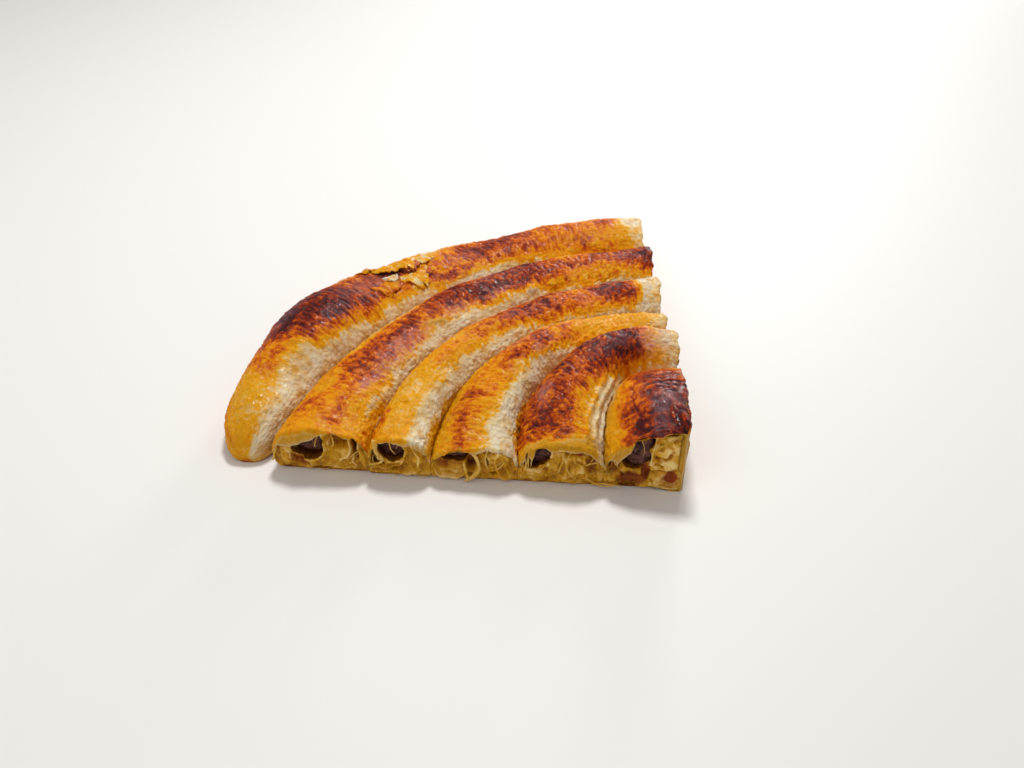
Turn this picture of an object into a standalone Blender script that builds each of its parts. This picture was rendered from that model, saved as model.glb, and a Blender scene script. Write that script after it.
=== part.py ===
"""One quarter of a coiled meat pie, cut from the round: six rolls of thin pastry curl side by side
round the point of the quarter, and a core of minced meat runs through each roll."""

import math

import bmesh
import bpy
import numpy as np

# The point of the quarter, where its two straight cuts meet, is the pole. A bearing is the angle from
# the front cut (0) to the right-hand cut (OPENING), and a share runs from 0 to 1 along a roll.
# Rolls are counted outwards from the pole, 0 to 5, in every row of values below.
MM = 0.001
OPENING = math.radians(85.8)
POLE = (90.6 * MM, -91.8 * MM)
GAP = 0.3 * MM
ROLLS = 6
OUTERMOST = ROLLS - 1

# Radii of the grooves between the rolls, from the pole outwards, in millimetres, at even bearings.
GROOVES = (
    (0.9, 0.9, 0.9, 0.9, 0.9),
    (30.5, 34.0, 42.0, 55.0, 58.5),
    (63.5, 68.5, 72.5, 75.5, 79.0),
    (97.5, 98.5, 98.5, 98.0, 98.5),
    (122.0, 121.5, 121.0, 122.0, 126.5),
    (160.0, 152.5, 151.5, 152.0, 155.0),
    (185.0, 189.0, 187.0, 184.0, 187.5),
)
# Heights of the crests in millimetres, at even bearings. The outermost roll has a puffed shoulder.
CRESTS = (
    (29.0, 31.0, 33.0, 33.0, 31.0),
    (21.0, 26.0, 29.0, 30.0, 24.5),
    (17.0, 23.0, 26.0, 23.0, 20.5),
    (20.0, 23.0, 23.0, 22.0, 23.5),
    (22.0, 23.0, 23.0, 22.0, 22.0),
    (19.0, 22.0, 31.0, 27.5, 23.0, 20.5, 20.5, 22.0, 21.0),
)
# Where the crest lies between the roll's inner side (0) and its outer side (1).
LEANS = (
    (0.0, 0.0, 0.0, 0.0, 0.0),
    (0.50, 0.55, 0.60, 0.62, 0.60),
    (0.36, 0.38, 0.45, 0.50, 0.50),
    (0.50, 0.52, 0.55, 0.55, 0.50),
    (0.50, 0.52, 0.55, 0.55, 0.50),
    (0.50, 0.60, 0.60, 0.55, 0.50),
)
# Height up to which a roll is pressed flat against its neighbour, roundness of its feet, how far it
# is set back from the front cut and how far it stands out past the right-hand cut, in millimetres.
# The last two are powers of the arch's cosine and sine: under 1, they make it fuller than round.
PRESSED = (9.0, 9.0, 8.0, 8.0, 8.5, 8.0)
INNER_FOOT = (0.4, 1.5, 1.5, 1.5, 1.5, 3.0)
OUTER_FOOT = (1.5, 1.5, 1.5, 1.5, 4.5, 6.0)
SET_BACK = (0.0, 0.0, 0.0, 0.0, 1.0, 4.0)
REACH = (2.0, 4.5, 2.0, 1.5, 1.0, -0.5)
ARCH_SIDE = 0.9
ARCH_RISE = 0.9

# The bore that holds the meat, as shares of the roll's width, and the thickness of floor and roof in
# millimetres. The roof is a little thinner at the cuts, and the outline is a squared, turned oval.
BORES = ((0.38, 0.68), (0.20, 0.84), (0.20, 0.84), (0.20, 0.84), (0.20, 0.84), (0.20, 0.84))
FLOOR = 3.6 * MM
ROOFS = (5.5, 3.0, 3.0, 3.0, 3.0, 3.0)
THIN_ROOF = 0.8
BORE_SQUARE = 0.8
BORE_TURN = 0.3

# The outermost roll's closed front end: how far behind it the bore starts, the length over which the
# end draws in, the height it draws in to, and its least size as a share of the whole.
BLIND_END = 16.0 * MM
TIP_LENGTH = 22.0 * MM
TIP_HEIGHT = 8.0 * MM
TIP_LEAST = 0.25

# Unevenness. A crust wave has a weight, a length along the roll in millimetres over two pi, a pace
# across the arch and a shift from roll to roll. An edge wave has a weight, a pace from point to point,
# and a shift from roll to roll and from cut to cut. The meat is drawn back from the cuts and sunk there.
RELIEF = 0.55 * MM
CRUST_WAVES = ((1.0, 9.0, 2.0, 1.7), (0.7, 5.3, -3.1, 0.9), (0.5, 17.0, 4.3, -1.0))
RAGGED = 1.0 * MM
EDGE_WAVES = ((0.5, 2.4, 1.3, 2.1), (0.3, 5.1, 1.0, 0.0))
NEAR_POLE = 5.0 * MM
MEAT_RECESS = 3.0 * MM
MEAT_END_WIDTH = 0.80
MEAT_END_HEIGHT = 0.62
MEAT_END_LIFT = 0.6 * MM

# How finely the shapes are divided.
ARCH_POINTS = 13
BORE_POINTS = 10
ROLL_STEP = 5.0 * MM
BORE_STEP = 10.0 * MM
LEAST_STEPS = 6
SHRED_STEPS = 7
FLAKE_STEPS = 6

# Torn shreds of crust at the cuts: the roll, the cut (0 front, 1 right), the radius and height of the
# start, the bend and the end, then the width at the start and at the end, all in millimetres. A shred
# is rooted in the crust behind the cut, and its middle and end hang proud of the cut.
SHREDS = (
    (0, 0, (25.0, 19.0), (26.4, 16.0), (25.8, 12.0), 6.0, 1.5),
    (0, 1, (30.0, 28.0), (31.0, 20.0), (30.0, 15.0), 5.0, 1.5),
    (1, 0, (60.2, 16.5), (60.4, 14.0), (60.0, 11.0), 4.0, 1.2),
    (1, 0, (55.5, 18.5), (57.0, 16.0), (57.6, 13.0), 3.5, 1.2),
    (1, 1, (66.0, 22.0), (67.0, 17.0), (65.0, 12.0), 5.0, 1.5),
    (2, 0, (78.7, 15.5), (75.0, -6.5), (84.7, 6.0), 2.2, 1.4),
    (3, 0, (111.0, 18.0), (110.0, 10.0), (107.0, 4.5), 2.4, 1.4),
    (3, 1, (111.0, 21.0), (113.0, 15.0), (110.0, 8.0), 4.0, 1.5),
    (4, 0, (141.0, 20.0), (137.0, 14.0), (138.5, 8.0), 3.0, 1.5),
    (4, 1, (142.0, 20.0), (144.0, 14.0), (141.0, 8.0), 4.0, 1.5),
)
SHRED_THICKNESS = 1.0 * MM
SHRED_ROOT = 1.5 * MM
SHRED_PROUD = 2.2 * MM

# Lifted flakes of crust on the outermost roll: bearing of the middle in degrees, length along the
# roll, radius of the buried inner edge, width, and how high the free outer edge stands. A flake is
# lower towards its ends by the taper, and it curls up along its width by a power.
FLAKES = (
    (42.5, 22.0, 170.5, 10.0, 3.4),
    (39.0, 15.0, 163.0, 8.0, 2.6),
    (44.5, 12.0, 160.0, 8.0, 2.4),
    (47.5, 14.0, 168.0, 8.5, 2.6),
)
FLAKE_ACROSS = (0.0, 0.33, 0.67, 1.0)
FLAKE_TAPER = 0.7
FLAKE_CURL = 1.3
FLAKE_THICKNESS = 1.1 * MM
FLAKE_ROOT = 1.4 * MM

CRUSTS = (
    (0.50, 0.20, 0.06),
    (0.56, 0.22, 0.06),
    (0.66, 0.40, 0.12),
    (0.64, 0.34, 0.10),
    (0.52, 0.22, 0.08),
    (0.58, 0.28, 0.08),
)
CRUST_ROUGHNESS = 0.45
MEAT = (0.12, 0.05, 0.03)
MEAT_ROUGHNESS = 0.6


def clear_scene():
    """Starts from an empty scene."""
    for item in list(bpy.data.objects):
        bpy.data.objects.remove(item)


def through(values, share):
    """A smooth curve through even values, read at a share from 0 to 1."""
    last = len(values) - 1
    spot = min(max(share, 0.0), 1.0) * last
    left = min(int(spot), last - 1)
    x = spot - left
    p0, p1 = values[max(left - 1, 0)], values[left]
    p2, p3 = values[left + 1], values[min(left + 2, last)]
    square = 2 * p0 - 5 * p1 + 4 * p2 - p3
    cube = 3 * p1 - p0 - 3 * p2 + p3
    return 0.5 * (2 * p1 + (p2 - p0) * x + square * x**2 + cube * x**3)


def power(value, exponent):
    """A signed power, which squares up a circle."""
    return np.sign(value) * np.abs(value) ** exponent


def bearing(roll, share):
    """The bearing at a share of a roll, which may start behind one cut and reach past the other."""
    middle = (GROOVES[roll][-1] + GROOVES[roll + 1][-1]) / 2
    start = SET_BACK[roll] / middle
    return start + share * (OPENING + REACH[roll] / middle - start)


def crags(roll, along, turn):
    """Low waves of the baked crust: sums of sines along the roll and across its arch."""
    waves = [
        weight * np.sin(along / (length * MM) + across * turn + shift * roll)
        for weight, length, across, shift in CRUST_WAVES
    ]
    return RELIEF * sum(waves)


def arch(roll, share):
    """The upper outline of a roll, from the outer side over the crest to the inner side."""
    inner = through(GROOVES[roll], share) * MM + GAP / 2
    outer = through(GROOVES[roll + 1], share) * MM - GAP / 2
    crest = through(CRESTS[roll], share) * MM
    pressed = PRESSED[roll] * MM
    top = inner + through(LEANS[roll], share) * (outer - inner)
    turn = np.linspace(0.0, math.pi if roll else math.pi / 2, ARCH_POINTS)
    side = np.where(turn < math.pi / 2, outer - top, top - inner)
    radius = top + side * power(np.cos(turn), ARCH_SIDE)
    rise = power(np.sin(turn), ARCH_RISE)
    along = share * OPENING * (inner + outer) / 2
    height = pressed + (crest - pressed + crags(roll, along, turn)) * rise
    return radius, height


def section(roll, share):
    """The whole outline of a roll: its arch, then its inner foot, its flat base and its outer foot."""
    radius, height = arch(roll, share)
    outer, inner = radius[0], through(GROOVES[roll], share) * MM + GAP / 2
    inner_foot, outer_foot = INNER_FOOT[roll] * MM, OUTER_FOOT[roll] * MM
    low_radius = [inner, inner + inner_foot, (inner + outer) / 2, outer - outer_foot, outer]
    low_height = [inner_foot, 0.0, 0.0, 0.0, outer_foot]
    return np.append(radius, low_radius), np.append(height, low_height)


def bore_section(roll, share, ease=0.0):
    """The outline of a roll's bore, drawn in by ease on all sides for the meat that lies in it."""
    inner, outer = through(GROOVES[roll], share) * MM, through(GROOVES[roll + 1], share) * MM
    low = inner + BORES[roll][0] * (outer - inner) + ease
    high = inner + BORES[roll][1] * (outer - inner) - ease
    floor = FLOOR + ease
    thinned = THIN_ROOF * (share in (0.0, 1.0))
    roof = (through(CRESTS[roll], share) - ROOFS[roll] + thinned) * MM - ease
    turn = np.linspace(0.0, 2 * math.pi, BORE_POINTS, endpoint=False) + BORE_TURN
    radius = (low + high) / 2 + (high - low) / 2 * power(np.cos(turn), BORE_SQUARE)
    height = (floor + roof) / 2 + (roof - floor) / 2 * power(np.sin(turn), BORE_SQUARE)
    return radius, height


def place(radius, height, angle, advance=0.0):
    """Points in space for radii and heights at a bearing, moved forward along the roll by advance."""
    turn = math.pi - angle
    x = POLE[0] + radius * math.cos(turn) + advance * math.sin(turn)
    y = POLE[1] + radius * math.sin(turn) - advance * math.cos(turn)
    return np.stack([x, y, height], axis=1)


def stations(roll, step, start=0.0):
    """Even shares along a roll from start to 1, about one step apart along its middle."""
    middle = (GROOVES[roll][2] + GROOVES[roll + 1][2]) / 2 * MM
    count = max(int(round(middle * OPENING * (1 - start) / step)), LEAST_STEPS)
    return np.linspace(start, 1.0, count + 1)


def ragged(radius, roll, cut):
    """How far each point of a cut's edge stands proud of the cut: nothing at the pole itself."""
    point = np.arange(len(radius))
    waves = [
        weight * np.sin(pace * point + roll_shift * roll + cut_shift * cut)
        for weight, pace, roll_shift, cut_shift in EDGE_WAVES
    ]
    return RAGGED * sum(waves) * np.clip(radius / NEAR_POLE - 1.0, 0.0, 1.0)


def tip(points, distance):
    """Draws a ring in towards its low middle, so that a roll's closed end comes to a blunt tip."""
    short = max(0.0, 1.0 - distance / TIP_LENGTH)
    size = TIP_LEAST + (1.0 - TIP_LEAST) * math.sqrt(1.0 - short**2)
    centre = points.mean(axis=0)
    centre[2] = TIP_HEIGHT
    drawn = centre + (points - centre) * size
    drawn[:, 2] = np.maximum(drawn[:, 2] - TIP_HEIGHT * (1.0 - size), 0.0)
    return drawn


def add_ring(mesh, points):
    """Adds a ring of points to a mesh."""
    return [mesh.verts.new(point) for point in points]


def skin(mesh, rings):
    """Joins rings of equal size with faces."""
    for first, second in zip(rings[:-1], rings[1:]):
        for i in range(len(first)):
            j = (i + 1) % len(first)
            mesh.faces.new((first[i], first[j], second[j], second[i]))


def stitch(mesh, outer, inner):
    """Fills the face between an outer ring and the smaller ring of a bore, always by the nearer point."""
    start = min(range(len(inner)), key=lambda k: (inner[k].co - outer[0].co).length)
    i = j = 0
    while i < len(outer) or j < len(inner):
        a, b = outer[i % len(outer)], inner[(start + j) % len(inner)]
        next_a, next_b = outer[(i + 1) % len(outer)], inner[(start + j + 1) % len(inner)]
        nearer = (next_a.co - b.co).length <= (next_b.co - a.co).length
        if j == len(inner) or (nearer and i < len(outer)):
            mesh.faces.new((a, b, next_a))
            i += 1
        else:
            mesh.faces.new((a, b, next_b))
            j += 1


def blind_share(roll):
    """The share at which a roll's bore starts: 0, but further in behind the outermost roll's closed end."""
    return BLIND_END / (OPENING * GROOVES[roll][0] * MM) if roll == OUTERMOST else 0.0


def roll_mesh(roll):
    """A roll of pastry: a skin of rings along its arc, a bore through it, and ragged cut faces."""
    mesh = bmesh.new()
    rings = []
    for share in stations(roll, ROLL_STEP):
        radius, height = section(roll, share)
        advance = np.zeros(len(radius))
        if share == 0.0 and roll != OUTERMOST:
            advance -= ragged(radius, roll, 0)
        if share == 1.0:
            advance += ragged(radius, roll, 1)
        points = place(radius, height, bearing(roll, share), advance)
        if roll == OUTERMOST:
            points = tip(points, share * OPENING * radius.mean())
        rings.append(add_ring(mesh, points))
    skin(mesh, rings)
    bores = []
    for share in stations(roll, BORE_STEP, blind_share(roll)):
        radius, height = bore_section(roll, share)
        bores.append(add_ring(mesh, place(radius, height, bearing(roll, share))))
    skin(mesh, bores)
    stitch(mesh, rings[-1], bores[-1])
    if roll == OUTERMOST:
        mesh.faces.new(rings[0])
        mesh.faces.new(bores[0])
    else:
        stitch(mesh, rings[0], bores[0])
    return mesh


def filling_mesh(roll):
    """The core of minced meat in a roll, drawn back from the cuts and sunk at its ends."""
    mesh = bmesh.new()
    rings = []
    shares = stations(roll, BORE_STEP, blind_share(roll))
    for number, share in enumerate(shares):
        first, last = number == 0, number == len(shares) - 1
        radius, height = bore_section(roll, share, GAP)
        if last or (first and roll != OUTERMOST):
            radius = radius.mean() + (radius - radius.mean()) * MEAT_END_WIDTH
            height = height.min() + MEAT_END_LIFT + (height - height.min()) * MEAT_END_HEIGHT
        advance = MEAT_RECESS * (first - last)
        rings.append(add_ring(mesh, place(radius, height, bearing(roll, share), advance)))
    skin(mesh, rings)
    mesh.faces.new(rings[0])
    mesh.faces.new(rings[-1])
    return mesh


def close_strip(mesh, rings):
    """Skins a short strip and closes its two ends."""
    skin(mesh, rings)
    mesh.faces.new(rings[0])
    mesh.faces.new(rings[-1])
    return mesh


def shred_mesh(roll, cut, start, bend, end, wide, narrow):
    """A torn shred of crust: a flat tapering strip that hangs on a curve in front of a cut."""
    mesh = bmesh.new()
    rings = []
    for t in np.linspace(0.0, 1.0, SHRED_STEPS):
        spot = (1 - t) ** 2 * np.array(start) + 2 * t * (1 - t) * np.array(bend) + t**2 * np.array(end)
        path = 2 * (1 - t) * (np.array(bend) - start) + 2 * t * (np.array(end) - bend)
        normal = np.array([path[1], -path[0]]) / np.linalg.norm(path)
        half = (wide + (narrow - wide) * t) / 2
        corners = np.array([spot + normal * half, spot - normal * half])[[0, 1, 1, 0]] * MM
        proud = (SHRED_PROUD + SHRED_ROOT) * math.sin(min(2 * t, 1.0) * math.pi / 2) - SHRED_ROOT
        depth = proud + SHRED_THICKNESS * np.array([0.0, 0.0, 1.0, 1.0])
        radius, height = corners[:, 0], corners[:, 1]
        forward = depth if cut else -depth
        rings.append(add_ring(mesh, place(radius, height, bearing(roll, cut), forward)))
    return close_strip(mesh, rings)


def flake_mesh(middle, length, inner, width, lift):
    """A lifted flake: a thin curved plate whose inner edge is buried and whose outer edge stands free."""
    mesh = bmesh.new()
    rings = []
    across = np.array(FLAKE_ACROSS)
    radius = (inner + across * width) * MM
    centre = math.radians(middle)
    half = length / (inner + width / 2) / 2
    for t in np.linspace(-1.0, 1.0, FLAKE_STEPS):
        angle = centre + t * half
        share = angle / OPENING
        arch_radius, arch_height = arch(OUTERMOST, share)
        ground = np.interp(radius, arch_radius[::-1], arch_height[::-1])
        reach = lift * MM * (1.0 - FLAKE_TAPER * t**2)
        under = ground - FLAKE_ROOT + (reach + FLAKE_ROOT) * across**FLAKE_CURL
        over = under + FLAKE_THICKNESS
        outline = np.append(over, under[::-1])
        rings.append(add_ring(mesh, place(np.append(radius, radius[::-1]), outline, angle)))
    return close_strip(mesh, rings)


def make_object(name, mesh, colour, roughness):
    """Turns the faces outwards and makes the named object with its own material."""
    bmesh.ops.recalc_face_normals(mesh, faces=mesh.faces)
    if mesh.calc_volume(signed=True) < 0.0:
        bmesh.ops.reverse_faces(mesh, faces=mesh.faces)
    bmesh.ops.triangulate(mesh, faces=mesh.faces)
    data = bpy.data.meshes.new(name)
    mesh.to_mesh(data)
    mesh.free()
    material = bpy.data.materials.new(name)
    material.use_nodes = True
    shader = material.node_tree.nodes["Principled BSDF"]
    shader.inputs["Base Color"].default_value = (*colour, 1.0)
    shader.inputs["Roughness"].default_value = roughness
    shader.inputs["Metallic"].default_value = 0.0
    data.materials.append(material)
    data.shade_smooth()
    item = bpy.data.objects.new(name, data)
    bpy.context.scene.collection.objects.link(item)
    return item


def fuse(item, meshes, colour):
    """Joins loose bits to a piece with one Boolean union on a collection, and removes the bits."""
    bits = bpy.data.collections.new(f"{item.name}_bits")
    bpy.context.scene.collection.children.link(bits)
    for number, mesh in enumerate(meshes):
        bit = make_object(f"{item.name}_bit_{number}", mesh, colour, CRUST_ROUGHNESS)
        bpy.context.scene.collection.objects.unlink(bit)
        bits.objects.link(bit)
    union = item.modifiers.new("union", "BOOLEAN")
    union.operation = "UNION"
    union.operand_type = "COLLECTION"
    union.collection = bits
    union.solver = "EXACT"
    bpy.context.view_layer.objects.active = item
    bpy.ops.object.modifier_apply(modifier=union.name)
    for bit in list(bits.objects):
        bpy.data.objects.remove(bit)
    bpy.data.collections.remove(bits)


def main():
    """Makes the rolls and their fillings, named from the outermost, roll_1, to the centre."""
    clear_scene()
    for roll in range(ROLLS):
        number = ROLLS - roll
        crust = make_object(f"roll_{number}", roll_mesh(roll), CRUSTS[roll], CRUST_ROUGHNESS)
        bits = [shred_mesh(*shred) for shred in SHREDS if shred[0] == roll]
        if roll == OUTERMOST:
            bits += [flake_mesh(*flake) for flake in FLAKES]
        fuse(crust, bits, CRUSTS[roll])
        make_object(f"filling_{number}", filling_mesh(roll), MEAT, MEAT_ROUGHNESS)


main()
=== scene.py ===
"""The looks of a quarter of a coiled meat burek: browned crusts, torn dough sheets and minced meat."""

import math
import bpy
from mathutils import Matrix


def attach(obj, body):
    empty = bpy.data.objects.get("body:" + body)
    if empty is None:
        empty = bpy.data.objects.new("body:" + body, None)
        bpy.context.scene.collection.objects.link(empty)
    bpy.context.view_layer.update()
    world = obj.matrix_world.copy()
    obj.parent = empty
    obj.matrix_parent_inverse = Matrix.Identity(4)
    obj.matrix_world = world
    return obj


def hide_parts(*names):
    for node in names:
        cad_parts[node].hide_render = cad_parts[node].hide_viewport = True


bl_info = {
    "name": "Meat Burek Quarter",
    "version": (1, 0, 0),
    "blender": (4, 5, 0),
    "location": "3D View > Sidebar > Burek",
    "description": "Dresses the packed solids of a meat burek quarter with baked pastry and filling",
    "category": "Object",
}

import bpy
import numpy as np
from bpy.props import FloatProperty, FloatVectorProperty, IntProperty, PointerProperty
from mathutils import Matrix, Vector

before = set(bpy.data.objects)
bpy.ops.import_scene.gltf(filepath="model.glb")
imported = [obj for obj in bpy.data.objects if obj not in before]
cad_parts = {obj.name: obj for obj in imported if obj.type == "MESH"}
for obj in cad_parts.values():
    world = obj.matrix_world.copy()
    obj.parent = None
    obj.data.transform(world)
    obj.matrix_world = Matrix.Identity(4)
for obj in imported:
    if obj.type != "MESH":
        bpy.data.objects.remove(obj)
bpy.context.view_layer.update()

# The same form as the solids. The pole is the quarter's point. Rolls are counted outwards from it, 0 to 5,
# and a share runs from 0 at the front cut to 1 at the right-hand cut. Radii, heights and the gap between the
# rolls are in millimetres.
MM = 0.001
OPENING = math.radians(85.8)
POLE = (90.6, -91.8)
GAP = 0.3
ROLLS = 6
OUTERMOST = 5
# For each groove, counted outwards from the pole, its radius at even shares.
GROOVES = (
    (0.9, 0.9, 0.9, 0.9, 0.9),
    (30.5, 34, 42, 55, 58.5),
    (63.5, 68.5, 72.5, 75.5, 79),
    (97.5, 98.5, 98.5, 98, 98.5),
    (122, 121.5, 121, 122, 126.5),
    (160, 152.5, 151.5, 152, 155),
    (185, 189, 187, 184, 187.5),
)
# For each roll at even shares: how high its crest is, and where it lies from the inner groove (0) to the
# outer one (1).
CRESTS = (
    (29, 31, 33, 33, 31),
    (21, 26, 29, 30, 24.5),
    (17, 23, 26, 23, 20.5),
    (20, 23, 23, 22, 23.5),
    (22, 23, 23, 22, 22),
    (19, 22, 31, 27.5, 23, 20.5, 20.5, 22, 21),
)
LEANS = (
    (0, 0, 0, 0, 0),
    (0.5, 0.55, 0.6, 0.62, 0.6),
    (0.36, 0.38, 0.45, 0.5, 0.5),
    (0.5, 0.52, 0.55, 0.55, 0.5),
    (0.5, 0.52, 0.55, 0.55, 0.5),
    (0.5, 0.6, 0.6, 0.55, 0.5),
)
# For each roll: how high it is pressed against its neighbours, the roundings of its inner and outer foot,
# and how far behind the front cut it starts and past the right-hand cut it ends.
PRESSED = (9.0, 9.0, 8.0, 8.0, 8.5, 8.0)
INNER_FOOT = (0.4, 1.5, 1.5, 1.5, 1.5, 3.0)
OUTER_FOOT = (1.5, 1.5, 1.5, 1.5, 4.5, 6.0)
SET_BACK = (0.0, 0.0, 0.0, 0.0, 1.0, 4.0)
REACH = (2.0, 4.5, 2.0, 1.5, 1.0, -0.5)
# Powers that square up the oval of an arch, sideways and upwards. Then the bores: where they start and end
# from the inner groove (0) to the outer one (1), the floor under them and the roofs over them.
ARCH_SIDE = 0.9
ARCH_RISE = 0.9
BORES = ((0.38, 0.68), (0.20, 0.84), (0.20, 0.84), (0.20, 0.84), (0.20, 0.84), (0.20, 0.84))
FLOOR = 3.6
ROOFS = (5.5, 3.0, 3.0, 3.0, 3.0, 3.0)
# The outermost roll's closed end: the length without a bore, the length over which it narrows, the height
# that it narrows to and its least size.
BLIND_END = 16.0
TIP_LENGTH = 22.0
TIP_HEIGHT = 8.0
TIP_LEAST = 0.25
# Low waves of the arches: their height, then for each its weight, its length along the roll, its turns
# across the arch and its shift from roll to roll.
RELIEF = 0.55
CRUST_WAVES = ((1.0, 9.0, 2.0, 1.7), (0.7, 5.3, -3.1, 0.9), (0.5, 17.0, 4.3, -1.0))

# How far an arch reaches when it is rolled out flat, and for the centre roll, which is rolled out as a fan,
# the radius of its outer edge and how much of it the arch takes up.
ARCH_FLAT = 48.0
FAN_EDGE = 36.0
FAN_FLAT = 34.0

# How finely the crusts are divided: columns over the arch, down each wall, round each foot and along the
# base, each roll's millimetres from row to row, and the rows of a lip.
ARCH_COLUMNS = 121
WALL_COLUMNS = 8
FOOT_COLUMNS = 4
BASE_COLUMNS = 16
ROW_STEPS = (0.34, 0.42, 0.46, 0.50, 0.50, 0.56)
LIP_ROWS = 9
LIP_STEPS = np.linspace(0.0, 1.0, LIP_ROWS + 1)[1:]
# A crust's inside follows its outside as far as the rim's depth from a cut, and the bore farther in; then
# its steps from row to row in both.
RIM_DEPTH = 14.0
RIM_ROW_STEP = 1.3
BORE_ROW_STEP = 9.0

# How far in from a cut its ragged edge reaches, how far the crust's walls and base are drawn back there, and
# how far from the pole the crust is held still.
EDGE_REACH = 3.5
DRAWN_BACK = 1.7
POLE_CALM = 5.0

# The dough of a cut: columns round it, and rows behind the crust, over the cut and along the opening's wall;
# how far behind the cut it comes out from the crust, and the least radius at which it turns inwards.
FACE_COLUMNS = 300
FACE_BACK_ROWS = 6
FACE_ROWS = 64
FACE_WALL_ROWS = 13
SHOULDER = 2.2
LEAST_TURN_RADIUS = 14.0
# For the centre roll and for the others: how far the dough is drawn in from the crust's outline behind the
# crust, on the walls and on the arch; how far on the arch at the cut; and the roof over the opening's wall.
BACK_INSETS = ((3.0, 3.2), (0.9, 1.9))
FACE_INSETS = (1.7, 1.1)
OPENING_ROOFS = (2.8, 1.9)

# The grid of a strand and its tone; the grid of a flake, its thickness and how fine its patches are; the
# meat's distance from a cut, its steps from row to row and the rows of its rounded ends.
STRAND_ROWS = 16
STRAND_COLUMNS = 8
STRAND_TONE = 0.7
FLAKE_ROWS = 60
FLAKE_COLUMNS = 28
FLAKE_THICKNESS = 0.5
FLAKE_PATCHES = 300.0
MEAT_SET_BACK = 4.5
MEAT_ROW_STEP = 2.0
MEAT_DOME_ROWS = 7
# Steps over an arch when its height over a place is looked up.
ROOF_STEPS = 181

CUT_NAMES = ("front", "right")
NOISE_SEED = 7
STRAND_SEED = 23
# The lights: name, place in metres and size. Each one's power is the setting of the same name.
LIGHTS = (
    ("key", (0.02, 0.30, 0.85), 0.16),
    ("window", (0.25, 0.95, 0.28), 0.22),
    ("fill", (-0.45, -0.60, 0.60), 0.8),
)

# How dark the crest of each roll is baked, from the second roll outwards, at even shares along it:
# 0 is raw white dough, 0.3 golden, 0.5 orange, 0.7 red-brown and 1 burnt.
BAKE_LEVEL = (
    (0.5, 0.6, 0.68, 0.64, 0.64, 0.66, 0.72, 0.86, 0.78, 0.34, 0.1),
    (0.32, 0.48, 0.42, 0.4, 0.46, 0.64, 0.52, 0.27, 0.25, 0.22, 0.1),
    (0.27, 0.24, 0.19, 0.25, 0.38, 0.52, 0.64, 0.64, 0.48, 0.72, 0.08),
    (0.3, 0.36, 0.56, 0.62, 0.62, 0.76, 0.81, 0.81, 0.62, 0.66, 0.75),
    (0.22, 0.23, 0.58, 0.8, 0.62, 0.46, 0.5, 0.62, 0.5, 0.47, 0.12),
)
# How far the browning reaches down the inner flank, across the arch from 0 (outer foot) to 1 (inner foot).
BAKE_INNER = (
    (0.66, 0.64, 0.62, 0.63, 0.63, 0.66, 0.72, 0.79, 0.84, 0.8, 0.72),
    (0.44, 0.44, 0.47, 0.57, 0.54, 0.62, 0.63, 0.68, 0.77, 0.74, 0.66),
    (0.52, 0.5, 0.58, 0.62, 0.61, 0.61, 0.67, 0.69, 0.7, 0.7, 0.64),
    (0.84, 0.69, 0.68, 0.66, 0.63, 0.62, 0.67, 0.7, 0.71, 0.72, 0.72),
    (0.56, 0.6, 0.65, 0.71, 0.72, 0.73, 0.69, 0.7, 0.74, 0.88, 0.95),
)
# How far it reaches down the outer flank.
BAKE_OUTER = (
    (0.02, 0.04, 0.08, 0.12, 0.18, 0.24, 0.28, 0.32, 0.3, 0.25, 0.25),
    (0.22, 0.22, 0.2, 0.22, 0.24, 0.28, 0.3, 0.2, 0.2, 0.2, 0.2),
    (0.12, 0.1, 0.12, 0.14, 0.16, 0.2, 0.22, 0.22, 0.2, 0.15, 0.15),
    (0.15, 0.15, 0.3, 0.32, 0.3, 0.2, 0.18, 0.18, 0.22, 0.2, 0.2),
    (-0.2, -0.2, -0.1, 0, 0, 0, 0, 0, 0, 0, 0),
)
# How dark the outer flank is below that.
OUTER_FLANK_BAKE = (0.36, 0.22, 0.22, 0.24, 0.34)

# Named shreds: roll, cut, then radius and height of the start, the bend and the end, and the width at the
# start and at the end, in millimetres.
SHREDS = (
    (0, 0, 37, 3.6, 31, 0.6, 24, 3.4, 0.8, 0.4), (0, 0, 35, 0.7, 29, 4.6, 23, 2, 0.9, 0.4),
    (0, 1, 30, 28, 31, 20, 30, 15, 5, 1.5), (1, 0, 46, 19.4, 46, 14, 48.2, 7.4, 0.8, 0.5),
    (1, 0, 41.5, 19, 49.5, 12, 40, 3.5, 0.5, 0.3), (1, 1, 66, 22, 67, 17, 65, 12, 5, 1.5),
    (2, 0, 82.6, 15.6, 73.6, 6.6, 84.8, 0.8, 2, 1.7), (2, 0, 84.6, 8.4, 83.4, 4, 82.6, 0.8, 0.9, 1.3),
    (2, 0, 74.5, 17.4, 77.5, 12, 74.5, 7, 0.7, 0.4), (3, 0, 118.6, 18, 118.6, 14, 117, 10.6, 2.6, 1),
    (3, 0, 118.4, 12, 112.4, 8.2, 121.6, 7.4, 1.2, 0.9),
    (3, 0, 113.4, 18.4, 112.6, 16, 110.6, 13, 0.7, 0.4), (3, 1, 111, 21, 113, 15, 110, 8, 4, 1.5),
    (4, 0, 157.2, 14, 158.6, 10.5, 159.8, 5.4, 1.1, 0.9),
    (4, 0, 141.2, 17.4, 142.4, 16, 141.8, 13.6, 0.6, 0.3), (4, 1, 142, 20, 144, 14, 141, 8, 4, 1.5),
)
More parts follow.
